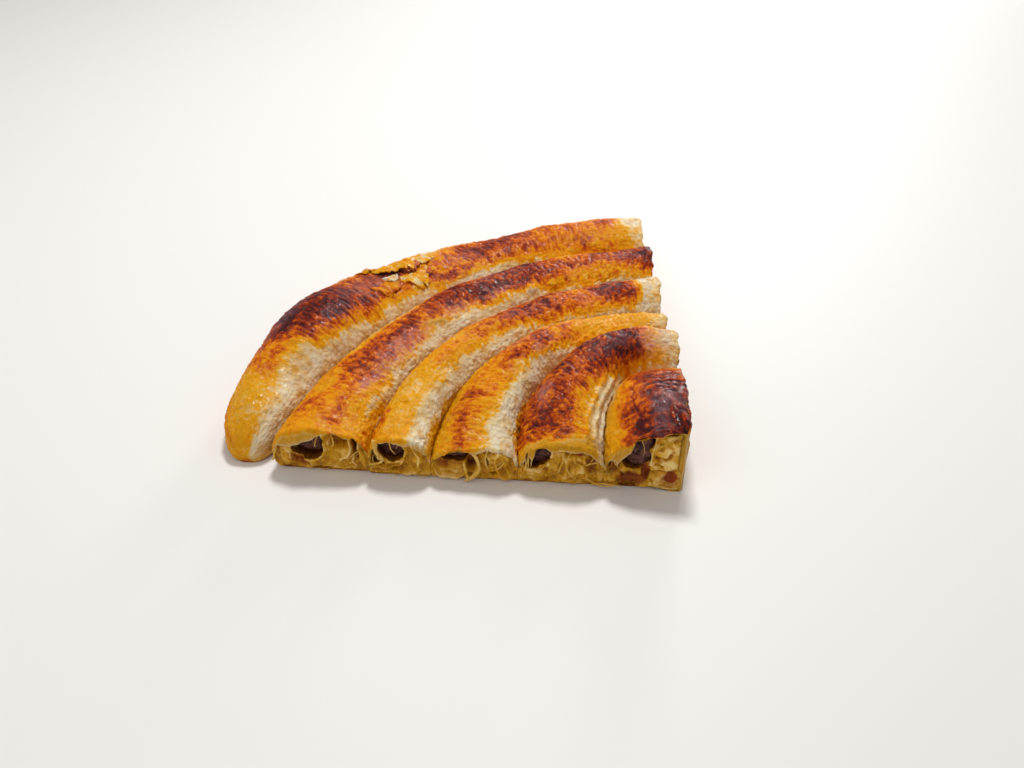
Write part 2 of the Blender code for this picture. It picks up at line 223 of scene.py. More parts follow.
# Lifted flakes on the outermost roll: bearing in degrees, length, root radius, width (below 0 towards the
# pole) and lift in millimetres, then browning, butter and mauve.
FLAKES = (
    (41.8, 28, 182, -15, 4, 0.26, 0.2, 0), (43.8, 16, 176.5, -10, 2.8, 0.62, 0, 0.7),
    # The flake at 39.2 degrees is nearly white with a pink skin: a pale sheet set where a highlight lies by
    # the crack, a painted highlight.
    (39.2, 9, 170.5, -6.5, 1.9, 0.04, 0, 0.3), (42.9, 18, 169, -12, 2.3, 0.18, 0.2, 0),
    (46.6, 15, 178.5, -10, 2.2, 0.16, 0.2, 0), (37.6, 11, 184, -9, 3.4, 0.3, 0.3, 0),
    (37.3, 15, 168, -9, 1.8, 0.42, 0.2, 0), (45.6, 9, 168.5, -7, 1.6, 0.6, 0, 0.4),
)

# Browning of the underside and of the crust's inside.
UNDERSIDE_BAKE = 0.70
LINING_BAKE = 0.10

# Spots on the crust of each roll: share along, share across, half length and half width in the same shares,
# then what it adds to the browning, to the butter-yellow and to the mauve skin with its painted sheen.
SPOTS = {
    0: (
        (0.82, 0.38, 0.18, 0.2, 0.3, 0, 0), (0.25, 0.2, 0.4, 0.2, -0.04, 0.9, 0),
        # The spots at across 0.84 and 0.8 lay the lilac sheen on the burnt point: painted highlights.
        (0.6, 0.2, 0.14, 0.07, -0.12, 0, 0.3), (0.25, 0.84, 0.25, 0.07, 0.06, 0, 0.6),
        (0.7, 0.8, 0.25, 0.07, 0.1, 0, 0.9),
    ),
    1: (
        (0.012, 0.3, 0.022, 0.3, -0.18, 0.7, 0), (0, 0.48, 0.05, 0.36, -0.42, 0.9, 0),
        (0.05, 0.62, 0.05, 0.07, -0.26, 0.3, 0), (0.13, 0.4, 0.04, 0.1, 0.1, 0, 0),
        (0.23, 0.38, 0.04, 0.08, 0.1, 0, 0.3), (0.29, 0.35, 0.06, 0.05, 0.04, 0, 0.9),
        (0.62, 0.55, 0.06, 0.06, 0.1, 0, 0.3), (0.73, 0.6, 0.08, 0.06, 0.12, 0, 0.5),
        (0.75, 0.32, 0.06, 0.08, -0.42, 0.6, 0), (0.868, 0.62, 0.045, 0.14, -0.16, 0, 1),
        (0.94, 0.56, 0.04, 0.18, -0.16, 0, 0.8), (0.92, 0.34, 0.06, 0.1, -0.12, 0.5, 0),
        (0.04, 0.72, 0.06, 0.07, 0.06, 1, 0),
    ),
    2: (
        (0.12, 0.12, 0.22, 0.2, 0, 1, 0), (0.055, 0.36, 0.045, 0.06, 0.24, 0, 0),
        (0.125, 0.33, 0.02, 0.04, 0.16, 0, 0), (0.2, 0.37, 0.05, 0.05, 0.14, 0, 0),
        (0.43, 0.5, 0.022, 0.05, 0.2, 0, 0), (0.49, 0.58, 0.03, 0.05, 0, 0, 0.9),
        (0.545, 0.5, 0.035, 0.09, 0.18, 0, 0.2), (0.48, 0.38, 0.05, 0.06, -0.16, 0, 0.4),
        (0.6, 0.46, 0.02, 0.1, -0.22, 0, 0), (0.645, 0.47, 0.02, 0.05, 0.3, 0, 0.4),
        (0.75, 0.5, 0.06, 0.08, 0.02, 0.5, 0), (0.88, 0.55, 0.05, 0.05, 0.1, 0.6, 0),
        # This spot darkens the inner foot by the groove: painted shade.
        (0.15, 0.88, 0.15, 0.06, 0.3, 0.3, 0),
    ),
    3: (
        (0.075, 0.22, 0.045, 0.09, 0.28, 0, 0), (0.15, 0.35, 0.08, 0.1, -0.04, 0.5, 0),
        (0.33, 0.5, 0.07, 0.05, 0.12, 0, 0), (0.4, 0.36, 0.035, 0.08, -0.22, 0, 0),
        (0.5, 0.58, 0.03, 0.04, -0.12, 0.3, 0), (0.57, 0.48, 0.04, 0.07, 0.08, 0, 0.2),
        (0.66, 0.52, 0.06, 0.05, 0.1, 0, 0.2), (0.63, 0.32, 0.03, 0.06, -0.18, 0, 0),
        (0.865, 0.44, 0.03, 0.1, 0.16, 0, 0.4), (0.958, 0.4, 0.022, 0.3, -0.42, 0, 0),
        (0.05, 0.9, 0.09, 0.08, 0.2, 1, 0), (0.18, 0.92, 0.12, 0.06, 0.08, 1, 0),
    ),
    4: (
        (0.08, 0.36, 0.032, 0.1, 0.24, 0, 0), (0.05, 0.59, 0.05, 0.06, 0.2, 0, 0),
        (0.14, 0.38, 0.04, 0.07, -0.18, 0.6, 0), (0.22, 0.5, 0.04, 0.06, 0.16, 0, 0),
        (0.31, 0.52, 0.05, 0.06, 0.12, 0, 0), (0.165, 0.64, 0.04, 0.06, 0.08, 0, 1),
        (0.285, 0.65, 0.1, 0.085, 0.1, 0, 1.4), (0.28, 0.31, 0.09, 0.06, -0.26, 0.6, 0),
        (0.4, 0.3, 0.05, 0.1, -0.3, 0, 0.3), (0.56, 0.28, 0.08, 0.06, -0.24, 0, 0.6),
        (0.41, 0.66, 0.028, 0.05, -0.28, 0.9, 0), (0.49, 0.63, 0.04, 0.06, 0.06, 0, 0.9),
        (0.65, 0.45, 0.07, 0.12, 0, 0, 0.3), (0.6, 0.64, 0.06, 0.04, 0, 0, 0.8),
        (0.685, 0.73, 0.018, 0.045, -0.3, 0, 0), (0.745, 0.73, 0.012, 0.035, -0.24, 0, 0),
        (0.84, 0.65, 0.07, 0.08, -0.2, 0, 0), (0.82, 0.32, 0.04, 0.1, -0.26, 0.5, 0),
        (0.94, 0.5, 0.05, 0.07, 0.14, 0, 0.2), (0.91, 0.68, 0.06, 0.06, -0.2, 0.2, 0),
        (0.06, 0.87, 0.1, 0.07, 0.3, 0.6, 0),
    ),
    5: (
        (0.05, 0.15, 0.05, 0.1, 0.12, 0, 0), (0.07, 0.45, 0.06, 0.12, -0.03, 0.6, 0),
        (0.14, 0.38, 0.03, 0.15, 0.12, 0, 0), (0.215, 0.38, 0.04, 0.14, 0.26, 0, 0),
        (0.28, 0.5, 0.06, 0.12, 0.12, 0, 0), (0.28, 0.66, 0.045, 0.06, 0.24, 0, 0.4),
        # The pale spots with mauve high on the outer side, at shares 0.26, 0.38 and 0.555, are painted sheen
        # and highlights where light grazes the crest.
        (0.26, 0.26, 0.07, 0.14, -0.02, 0, 1), (0.17, 0.63, 0.055, 0.08, -0.25, 0.4, 0),
        (0.38, 0.29, 0.042, 0.09, -0.38, 0, 0.9), (0.39, 0.54, 0.06, 0.08, 0.06, 0, 0.5),
        (0.475, 0.52, 0.045, 0.1, 0.36, 0, 0), (0.49, 0.3, 0.022, 0.15, -0.22, 0.3, 0),
        (0.5, 0.56, 0.03, 0.05, -0.16, 0.8, 0), (0.555, 0.31, 0.04, 0.12, -0.46, 0, 0.3),
        (0.57, 0.72, 0.06, 0.05, 0.34, 0, 0.3), (0.6, 0.58, 0.045, 0.06, 0.08, 0, 0.5),
        (0.64, 0.5, 0.035, 0.08, 0.12, 0, 0.2), (0.73, 0.38, 0.05, 0.14, 0.14, 0, 0),
        (0.64, 0.27, 0.05, 0.07, -0.32, 0, 0.7), (0.85, 0.27, 0.065, 0.08, -0.34, 0.2, 0),
        (0.92, 0.44, 0.03, 0.1, 0.16, 0, 0), (0.86, 0.62, 0.06, 0.08, -0.05, 0.6, 0),
        (0.98, 0.3, 0.022, 0.25, -0.28, 0, 0),
    ),
}
# The centre roll is baked darker step by step from its outer foot to the point.
CENTRE_BAKE = (0.1, 0.14, 0.19, 0.26, 0.38, 0.57, 0.74, 0.88, 0.96, 1, 1)

# Blisters of each roll: share along, share across, radius and height in millimetres.
BLISTERS = {
    1: (
        (0.15, 0.3, 3.5, 0.8),
    ),
    2: (
        (0.12, 0.55, 3, 0.5),
    ),
    3: (
        (0.07, 0.6, 2.4, 0.5), (0.14, 0.44, 3, 0.7),
    ),
    4: (
        (0.685, 0.73, 2.4, 1.4), (0.745, 0.73, 1.6, 1), (0.06, 0.5, 2.6, 0.5),
    ),
    5: (
        (0.6, 0.7, 1.8, 0.6), (0.56, 0.62, 1.6, 0.6),
    ),
}
# Long folds of each roll where the sheet doubles: share and share across at the start and at the end, then
# height and width in millimetres.
FOLDS = {
    0: (
        (0.05, 0.23, 0.6, 0.14, 0.7, 2.2), (0.05, 0.28, 0.45, 0.22, 0.6, 1.4),
    ),
    1: (
        (0.02, 0.66, 0.62, 0.76, 1.3, 1.4), (0.04, 0.74, 0.7, 0.83, 1.6, 1.5),
        (0.08, 0.82, 0.74, 0.9, 1.4, 1.4), (0.8, 0.42, 0.86, 0.78, 0.7, 1),
    ),
    2: (
        (0.04, 0.56, 0.28, 0.6, 0.4, 1.2), (0.5, 0.66, 0.7, 0.5, 0.9, 1.2), (0.62, 0.7, 0.8, 0.56, 0.8, 1),
    ),
    3: (
        (0, 0.5, 0.2, 0.3, 0.6, 1.2),
    ),
    4: (
        (0.02, 0.46, 0.17, 0.33, 0.7, 1.2), (0.16, 0.31, 0.4, 0.38, 0.8, 1),
        (0.22, 0.46, 0.36, 0.5, 0.5, 0.9),
    ),
    5: (
        (0.44, 0.6, 0.56, 0.46, 0.7, 1), (0.5, 0.72, 0.62, 0.64, 0.6, 1),
    ),
}

# The dark cavity in each cut end: roll, cut (0 front, 1 right), radius and height of its middle, and half
# its width and height, in millimetres.
CAVITIES = (
    (0, 0, 18.2, 18, 6.4, 9.6), (0, 1, 40, 17, 7, 6), (1, 0, 57, 14, 6.4, 6.2), (1, 1, 69.5, 13, 5.5, 5.5),
    (2, 0, 88.6, 12.8, 6.6, 4), (2, 1, 89, 12, 5, 4.5), (3, 0, 113, 13.2, 6.2, 5.8),
    (3, 1, 112.5, 13, 7, 5.5), (4, 0, 145.4, 12.8, 7.4, 6), (4, 1, 140.5, 12, 7, 5.5),
    (5, 1, 171, 11, 8, 5.5),
)
# Corners of each roll's opening in the front cut, through which the meat shows: radius, height, radius and
# so on in millimetres. The right cut's openings are the plain ovals above.
OPENINGS = {
    0: (24.4, 15.5, 21, 20, 19.2, 27.5, 12.3, 27.5, 14.2, 20, 15.4, 12.5, 18.5, 9.8, 22.5, 11),
    1: (60.5, 15, 57.5, 19.5, 54.5, 20, 51.3, 17.5, 52, 12, 55, 9.3, 60, 9, 63, 11.5),
    2: (94.5, 12.8, 90, 15.8, 86, 16.4, 82.6, 15.2, 83.6, 10.6, 88.5, 8.6, 93, 9.2),
    3: (118, 17.2, 113.5, 18.6, 109.3, 17, 107.6, 12.5, 109.5, 9, 113, 8.4, 116.2, 10.2, 118.2, 13),
    4: (152.4, 12, 147.5, 15.4, 143, 17, 140, 19, 139.6, 14, 140.6, 8.6, 145, 6.8, 150, 8.2),
}
# Hollows and swellings in the dough of the front cut, for each roll: radius and height of the middle, half
# width, half height, lean in degrees, depth (below 0 it swells), then what it adds to the paleness and to
# the toasting. The paleness darkens the sunk dents as painted shade and lightens the swellings as painted
# light.
DENTS = {
    0: (
        (28, 10.5, 3.6, 4.6, 0, 0.8, -0.22, 0.2), (29.6, 15, 1.1, 1.4, 0, 2.5, -0.55, 0.5),
        (20.5, 4.6, 5.8, 3.6, 0, 0.6, -0.34, 0.6), (14.8, 11, 1.7, 7, 0, 1.3, -0.35, 0.6),
        (7, 21.5, 4.6, 6.5, 0, -1.8, 0.16, 0), (8, 13.2, 5.2, 2.9, 0, -1.2, 0.25, 0),
        (6.3, 5, 5.6, 4.4, 0, -2, 0.18, 0.1), (8, 10, 7, 0.5, -6, 1, -0.18, 0.2),
        (5.2, 6.4, 3.6, 4.4, 0, 0, -0.02, 0.45), (5.2, 7.6, 2.2, 2.7, 0, 0.6, -0.15, 1.1),
        (1.2, 21, 1.5, 9, 0, 0, -0.12, 0.3),
    ),
    1: (
        (46, 19.6, 7.5, 1.5, 0, -1.6, 0.22, 0), (40.5, 17.2, 2, 1.9, 0, -0.7, -0.1, 1),
        (59, 5.4, 6, 2.6, 0, -0.9, 0.12, 0.05), (43.5, 10, 5.5, 6, 0, -1.2, 0, 0),
        (35.5, 11, 2.4, 5, 0, 0.7, -0.22, 0.2),
    ),
    2: (
        (88.5, 5.6, 6.8, 3.4, 0, 0.9, -0.04, 0.12), (81.6, 9.2, 2.3, 4.8, 0, 3.6, -0.42, 0.25),
        (93, 8, 2.4, 2.6, 0, 0.4, -0.1, 0.5), (76, 10, 0.8, 2.2, -15, 2.2, -0.4, 0.2),
        (73, 4, 1.5, 0.9, 0, 1.8, -0.4, 0), (70.5, 11, 4, 6, 0, -1, 0.02, 0),
    ),
    3: (
        (120.4, 10.6, 1.7, 5.4, -8, 6, -0.65, 0.1), (117, 6.4, 1.3, 1.1, 0, 2.2, -0.5, 0.1),
        (103.5, 9, 3.6, 6, 0, -1.2, 0, 0), (111, 5, 5.5, 2.2, 0, 0.8, -0.15, 0.15),
    ),
    4: (
        (133.2, 16.2, 3.7, 2.9, 0, 3, -0.22, 0.25), (127, 12.5, 1.3, 5.6, -8, 3, -0.45, 0.4),
        (149.5, 6.6, 5, 2.2, 20, 0.8, -0.12, 0.35), (149, 3.9, 4.5, 1.2, 15, 0.5, -0.1, 0.6),
        (132.5, 10.6, 4.2, 3.6, 0, -1.8, 0.04, 0.05), (141.5, 5, 5, 2.8, 0, -1.4, 0.05, 0),
        (155, 9, 2.5, 4.2, 0, -0.9, 0.15, 0), (125, 9, 1.6, 7, -12, -1.4, 0.1, 0),
    ),
}
# Pale rims and creases of the dough sheets at the front cut, for each roll: half width, rise, what it adds
# to the paleness, then its corners: radius, height, radius and so on in millimetres.
CREASES = {
    0: (
        (0.45, 0.9, 0.3, 11.6, 27, 12.6, 20, 13.4, 14, 14, 10.4, 2, 10.6),
        (0.6, 0.7, 0.2, 9.6, 26, 6.4, 20, 9.4, 15.6, 3, 14),
        (0.45, 0.7, 0.25, 13.4, 6.6, 12.2, 2.6, 8.4, 0.9, 2, 1.2),
    ),
    1: (
        (0.55, 1, 0.22, 50.6, 17.5, 51, 11.5, 54.5, 7.8, 60, 7.6, 63.2, 9.4),
        (0.6, 0.9, 0.15, 46.4, 16, 44.6, 10, 45.6, 4), (0.55, 0.8, 0.12, 42.6, 15.5, 40.6, 9, 41.8, 3),
        (0.5, 0.8, 0.12, 38.6, 15, 36.8, 8, 37.6, 3),
    ),
    2: (
        (0.55, 1.1, 0.22, 96.4, 11, 96.8, 6, 94.4, 2.2, 88, 1.4, 83.5, 3),
        (0.6, 0.9, 0.15, 71.2, 16.2, 72.6, 10, 70.6, 3), (0.55, 0.8, 0.12, 67.6, 14.5, 68.6, 8, 66.6, 2.6),
        (0.5, 0.8, 0.15, 75.4, 16.5, 74.4, 11, 75.8, 5),
    ),
    3: (
        (0.6, 1.5, 0.32, 122, 6, 119.6, 9.2, 116, 9.6),
        (0.5, 1, 0.22, 121.2, 3.2, 118, 4.8, 114, 3.8, 109.6, 5.6, 107.8, 9.5),
        (0.5, 0.9, 0.18, 119.5, 1.6, 114, 2.3, 107.5, 1.8, 103, 3.6),
        (0.55, 1.3, 0.3, 107.8, 9.5, 106.8, 13, 108.2, 17.4),
        (0.45, 1, 0.25, 105.2, 18, 103.6, 13.6, 101.4, 11.4, 102.6, 6),
    ),
    4: (
        (1, 2, 0.22, 139.4, 19.5, 138.8, 14, 139.2, 9.6, 142, 7.2, 147, 6.2),
        (
            0.45, 1.5, 0.45, 137.2, 15, 135.6, 17.8, 134, 19.3, 131.5, 17.8, 129.2, 16, 128.6, 12.5, 130, 9,
            133, 7.4,
        ),
        (0.4, 1, 0.4, 122.6, 18.5, 126, 14, 128.2, 6, 127.6, 3),
        (0.5, 0.8, 0.25, 157.6, 13, 153.5, 10.5, 153, 6),
        (0.5, 0.6, 0.15, 146, 2.2, 140, 3, 134, 2.4, 128, 2.2),
    ),
}
# The lower edge of the torn lip over the front cut, for each roll: radius, height, radius and so on in
# millimetres.
LIP_EDGES = {
    0: (
        1, 28.4, 8, 27.6, 12, 27.2, 17, 26.8, 19.2, 26.2, 20.2, 22.6, 21, 19.6, 23.5, 16.6, 25, 13.8, 25.8,
        12, 26.6, 14.5, 28, 15.8, 29.6, 13.8, 30.5, 12.5,
    ),
    1: (
        31, 12, 34, 14.5, 36, 17, 40, 18.2, 47, 18.2, 51, 17.8, 54, 19.4, 56.6, 19.2, 57.3, 15, 58.2, 12.4,
        59.2, 14.5, 60.2, 17.4, 60.8, 13.6, 61.6, 11, 62.6, 11.6, 63.5, 8,
    ),
    2: (
        64, 10, 66, 13.6, 70, 16.2, 76, 16.2, 79.5, 14.2, 81, 13.6, 82.5, 15, 86, 15.8, 90, 14.4, 94, 12.2,
        98, 9.6,
    ),
    3: (99.5, 12.5, 102, 15.2, 105, 17.6, 108, 16.4, 110, 17.8, 113, 18.6, 117, 17.6, 120, 18, 121.5, 17),
    4: (
        122.5, 18, 126, 18.6, 128.5, 17.6, 131, 18.6, 134, 20, 137.5, 19.8, 140.4, 18.6, 143, 16.6, 147.5,
        15, 150, 13.6, 153, 12.2, 157.5, 13.2, 160, 9.5,
    ),
}
# The torn lip over the right cut, from the centre roll outwards: how far it hangs in general, then a drip's
# share across, length and half width. Lengths are in millimetres.
LIPS = (
    (1.4, 0.45, 2, 0.06), (1.2, 0.35, 2.5, 0.05), (1.2, 0.55, 2, 0.05), (1.2, 0.4, 2, 0.05),
    (1.2, 0.6, 2, 0.05), (1, 0.5, 1.5, 0.06),
)


def smooth(low, high, value):
    """0 below low, 1 above high, and an S-curve between them."""
    x = np.clip((value - low) / (high - low), 0.0, 1.0)
    return x * x * (3.0 - 2.0 * x)


def power(value, exponent):
    """A signed power, which squares up a circle."""
    return np.sign(value) * np.abs(value) ** exponent


def through(values, share):
    """A Catmull-Rom curve through even values, read at shares from 0 to 1."""
    values = np.asarray(values, dtype=float)
    last = len(values) - 1
    spot = np.clip(share, 0.0, 1.0) * last
    left = np.minimum(spot.astype(int), last - 1)
    x = spot - left
    p0, p1 = values[np.maximum(left - 1, 0)], values[left]
    p2, p3 = values[left + 1], values[np.minimum(left + 2, last)]
    square = 2 * p0 - 5 * p1 + 4 * p2 - p3
    cube = 3 * p1 - p0 - 3 * p2 + p3
    return 0.5 * (2 * p1 + (p2 - p0) * x + square * x**2 + cube * x**3)


NOISE_RANDOM = np.random.default_rng(NOISE_SEED)
NOISE_ORDER = NOISE_RANDOM.permutation(256)
NOISE_SLOPES = NOISE_RANDOM.normal(size=(256, 3))
NOISE_SLOPES /= np.linalg.norm(NOISE_SLOPES, axis=1, keepdims=True)


def noise(x, y, z):
    """Gradient noise, about -1 to 1: at each corner of the unit cell round a point, a fixed random slope
    times the distance to that corner, blended over the cell with a fifth-power S-curve."""
    x, y, z = np.broadcast_arrays(x, y, z)
    point = np.stack([x, y, z], axis=-1).astype(float)
    cell = np.floor(point).astype(int)
    part = point - cell
    blend = part**3 * (part * (part * 6 - 15) + 10)
    total = np.zeros(point.shape[:-1])
    for corner in np.ndindex(2, 2, 2):
        offset = np.array(corner)
        key = (cell + offset) & 255
        spin = NOISE_ORDER[(NOISE_ORDER[(NOISE_ORDER[key[..., 0]] + key[..., 1]) & 255] + key[..., 2]) & 255]
        value = (NOISE_SLOPES[spin] * (part - offset)).sum(axis=-1)
        weight = np.where(offset == 1, blend, 1.0 - blend).prod(axis=-1)
        total += value * weight
    return 1.6 * total


def cloud(x, y, z, octaves=3):
    """Noise added to itself at double the pace and half the height."""
    total = 0.0
    for octave in range(octaves):
        total = total + noise(x * 2**octave, y * 2**octave, z + 17.3 * octave) / 2**octave
    return total


def bubbles(x, y, seed):
    """Round bubbles of random size, one at most in each unit cell, 0 to 1: the highest half ball over a
    point, among those of its own and the eight neighbouring cells."""
    x, y = np.broadcast_arrays(x, y)
    cell_x, cell_y = np.floor(x).astype(int), np.floor(y).astype(int)
    top = np.zeros(x.shape)
    for step_x, step_y in np.ndindex(3, 3):
        at_x, at_y = cell_x + step_x - 1, cell_y + step_y - 1
        spin = NOISE_ORDER[(NOISE_ORDER[(at_x + 31 * seed) & 255] + at_y) & 255]
        slope = NOISE_SLOPES[spin]
        middle_x, middle_y = at_x + 0.5 + 0.35 * slope[..., 0], at_y + 0.5 + 0.35 * slope[..., 1]
        radius = 0.30 + 0.35 * np.abs(slope[..., 2])
        away = np.hypot(x - middle_x, y - middle_y) / radius
        top = np.maximum(top, radius / 0.65 * np.sqrt(np.clip(1.0 - away**2, 0.0, None)))
    return top


def bearing(roll, share):
    """The bearing at a share of a roll, which may start behind one cut and reach past the other."""
    middle = (GROOVES[roll][-1] + GROOVES[roll + 1][-1]) / 2
    start = SET_BACK[roll] / middle
    return start + share * (OPENING + REACH[roll] / middle - start)


def place(radius, height, angle, advance=0.0):
    """Points in metres for radii and heights at a bearing, moved forward along the roll by advance."""
    turn = math.pi - angle
    x = POLE[0] + radius * np.cos(turn) + advance * np.sin(turn)
    y = POLE[1] + radius * np.sin(turn) - advance * np.cos(turn)
    return np.stack(np.broadcast_arrays(x, y, height), axis=-1) * MM


def sides(roll, share):
    """The inner and outer radius of a roll."""
    return through(GROOVES[roll], share) + GAP / 2, through(GROOVES[roll + 1], share) - GAP / 2


def arch(roll, share, turn):
    """The upper outline of a roll: a squared half oval from the outer side over the crest to the inner
    side, with low waves along it."""
    inner, outer = sides(roll, share)
    top = inner + through(LEANS[roll], share) * (outer - inner)
    side = np.where(turn < math.pi / 2, outer - top, top - inner)
    radius = top + side * power(np.cos(turn), ARCH_SIDE)
    along = share * OPENING * (inner + outer) / 2
    waves = sum(
        weight * np.sin(along / length + across * turn + shift * roll)
        for weight, length, across, shift in CRUST_WAVES
    )
    crest = through(CRESTS[roll], share) - PRESSED[roll] + RELIEF * waves
    return radius, PRESSED[roll] + crest * power(np.sin(turn), ARCH_RISE)


def outline(roll, share):
    """A roll's closed outline at each share: its arch, the inner wall down to a round foot, the flat base,
    and the outer foot and wall back up. Rows are shares and columns go round."""
    share = share[:, None]
    turn = np.linspace(0.0, math.pi if roll else math.pi / 2, ARCH_COLUMNS)[None, :]
    radius, height = arch(roll, share, turn)
    inner, outer = sides(roll, share)
    low, high = INNER_FOOT[roll], OUTER_FOOT[roll]
    foot = np.linspace(0.0, math.pi / 2, FOOT_COLUMNS + 1)[None, :]
    down = np.linspace(1.0, 0.0, WALL_COLUMNS + 1)[None, 1:-1]
    base = np.linspace(0.0, 1.0, BASE_COLUMNS + 1)[None, 1:-1]
    parts = (
        (radius, height),
        (inner, low + down * (height[:, -1:] - low)),
        (inner + low * (1.0 - np.cos(foot)), low * (1.0 - np.sin(foot))),
        (inner + low + base * (outer - high - inner - low), 0.0 * base),
        (outer - high * (1.0 - np.sin(foot)), high * (1.0 - np.cos(foot))),
        (outer, high + down[:, ::-1] * (PRESSED[roll] - high)),
    )
    radii, heights, _ = zip(*(np.broadcast_arrays(*part, share) for part in parts))
    return np.concatenate(radii, axis=1), np.concatenate(heights, axis=1)


def columns():
    """For each column of an outline: its place across the arch (0 outer foot, 1 inner foot, beyond them on
    the walls) and how far it belongs to the underside."""
    wall = np.linspace(0.0, 0.12, WALL_COLUMNS + 1)[1:-1]
    foot = np.linspace(0.12, 0.2, FOOT_COLUMNS + 1)
    base = np.full(BASE_COLUMNS - 1, 1.4)
    arch_part = np.linspace(0.0, 1.0, ARCH_COLUMNS)
    across = np.concatenate([arch_part, 1.0 + wall, 1.0 + foot, base, -foot[::-1], -wall[::-1]])
    under = np.zeros(len(across))
    under[ARCH_COLUMNS + WALL_COLUMNS + 1 : -(WALL_COLUMNS + 1)] = 1.0
    return across, under


def bore_outline(roll, share, ease=0.0):
    """The outline of a roll's bore with the same columns as the crust, drawn in by an ease: a squared oval,
    read at the angle at which each column of the crust lies."""
    share = share[:, None]
    inner, outer = through(GROOVES[roll], share), through(GROOVES[roll + 1], share)
    low, high = (inner + part * (outer - inner) for part in BORES[roll])
    low, high = low + ease, high - ease
    floor, roof = FLOOR + ease, through(CRESTS[roll], share) - ROOFS[roll] - ease
    below = len(columns()[0]) - ARCH_COLUMNS
    over, under = np.linspace(0.0, math.pi, ARCH_COLUMNS), np.linspace(math.pi, 2 * math.pi, below + 2)[1:-1]
    turn = np.concatenate([over, under])[None, :]
    radius = (low + high) / 2 + (high - low) / 2 * power(np.cos(turn), 0.8)
    height = (floor + roof) / 2 + (roof - floor) / 2 * power(np.sin(turn), 0.8)
    return radius, height


def normals(points, middle_row):
    """Unit normals of a grid whose columns close into rings, from its neighbours along and across, turned
    so that they point up at the top of a middle row."""
    along = np.gradient(points, axis=0)
    across = np.roll(points, -1, axis=1) - np.roll(points, 1, axis=1)
    normal = np.cross(across, along)
    normal = normal / np.maximum(np.linalg.norm(normal, axis=-1, keepdims=True), 1e-12)
    return -normal if normal[middle_row, ARCH_COLUMNS // 2, 2] < 0.0 else normal


def roll_length(roll):
    """The length of a roll from cut to cut, in millimetres, along its middle."""
    return OPENING * (GROOVES[roll][2] + GROOVES[roll + 1][2]) / 2


def flat_place(roll, share, across):
    """Millimetres along a roll and over its arch, as if it were rolled out flat; the centre roll is rolled
    out as a fan round the pole."""
    if roll:
        return share * roll_length(roll), across * ARCH_FLAT
    away = FAN_EDGE - FAN_FLAT * across
    return away * np.sin(share * OPENING), FAN_EDGE - away * np.cos(share * OPENING)


def spots(roll, share, across):
    """What the listed spots add to browning, butter and mauve: round hills in shares, with edges
    broken up by noise."""
    brown = np.zeros(np.broadcast(share, across).shape)
    butter, mauve_skin_and_sheen = brown.copy(), brown.copy()
    flat = [value / 5 for value in flat_place(roll, share, across)]
    long = share + 0.010 * cloud(*flat, roll * 3.1)
    wide = across + 0.05 * cloud(*flat, roll * 3.1 + 40)
    for along, over, half_long, half_wide, add_brown, add_butter, add_mauve_skin_and_sheen in SPOTS[roll]:
        square = ((long - along) / half_long) ** 2 + ((wide - over) / half_wide) ** 2
        hill = np.exp(-(square**1.5))
        brown += add_brown * hill
        butter += add_butter * hill
        mauve_skin_and_sheen += add_mauve_skin_and_sheen * hill
    return brown, butter, mauve_skin_and_sheen


def bake(roll, share, across, under):
    """Browning, butter-yellow and mauve, a dry skin with painted sheen, over a roll. Browning is the crest's
    level between its two frayed edges, the outer flank's level outside them, and little on the inner flank;
    the centre roll is browned by its own steps from the outer foot to the point. Butter gathers in the
    grooves."""
    long, wide = flat_place(roll, share, across)
    fray = 0.055 * cloud(long / 11, wide / 8, roll * 5.7, 4) + 0.045 * noise(long / 1.5, wide / 9, roll + 51)
    over = across + fray
    flank = 0.02 + 0.05 * noise(long / 6, wide / 6, roll + 60)
    if roll == 0:
        level, crest = through(CENTRE_BAKE, np.clip(over, 0.0, 1.0)), 1.0
    else:
        shift = 0.02 * cloud(long / 14, wide / 9, roll * 9.1, 3)
        level = through(BAKE_LEVEL[roll - 1], np.clip(share + shift, 0.0, 1.0))
        inner, outer = (through(table[roll - 1], share) for table in (BAKE_INNER, BAKE_OUTER))
        crest = 1.0 - smooth(inner - 0.085, inner + 0.12, over)
        side = OUTER_FLANK_BAKE[roll - 1]
        level = side + (level - side) * smooth(outer - 0.10, outer + 0.10, over)
        flank = np.maximum(flank, 0.17 * (1.0 - smooth(inner, inner + 0.20, over)))
    add_brown, butter, mauve_skin_and_sheen = spots(roll, share, across)
    brown = flank + (level - flank) * crest + add_brown
    blotches = 0.10 * cloud(long / 5.0, wide / 4.0, roll * 8.3, 3) * smooth(0.12, 0.4, brown)
    brown = (brown + blotches) * (1.0 - under) + UNDERSIDE_BAKE * under
    groove = smooth(0.90, 1.08, np.abs(across - 0.5) * 2)
    tint = np.clip(0.10 + 0.55 * cloud(long / 6.0, wide / 4.0, roll * 6.7, 3), 0.0, 0.5)
    butter = np.clip(butter + 0.75 * groove + tint * (1.0 - smooth(0.05, 0.25, brown)), 0.0, 1.0)
    if roll == 0:
        wall = (across > 1.0) & (under < 0.5)
        brown, butter = np.where(wall, 0.05, brown), np.where(wall, 0.26, butter)
    return np.clip(brown, 0.0, 1.0), butter, np.clip(mauve_skin_and_sheen, 0.0, 1.0)


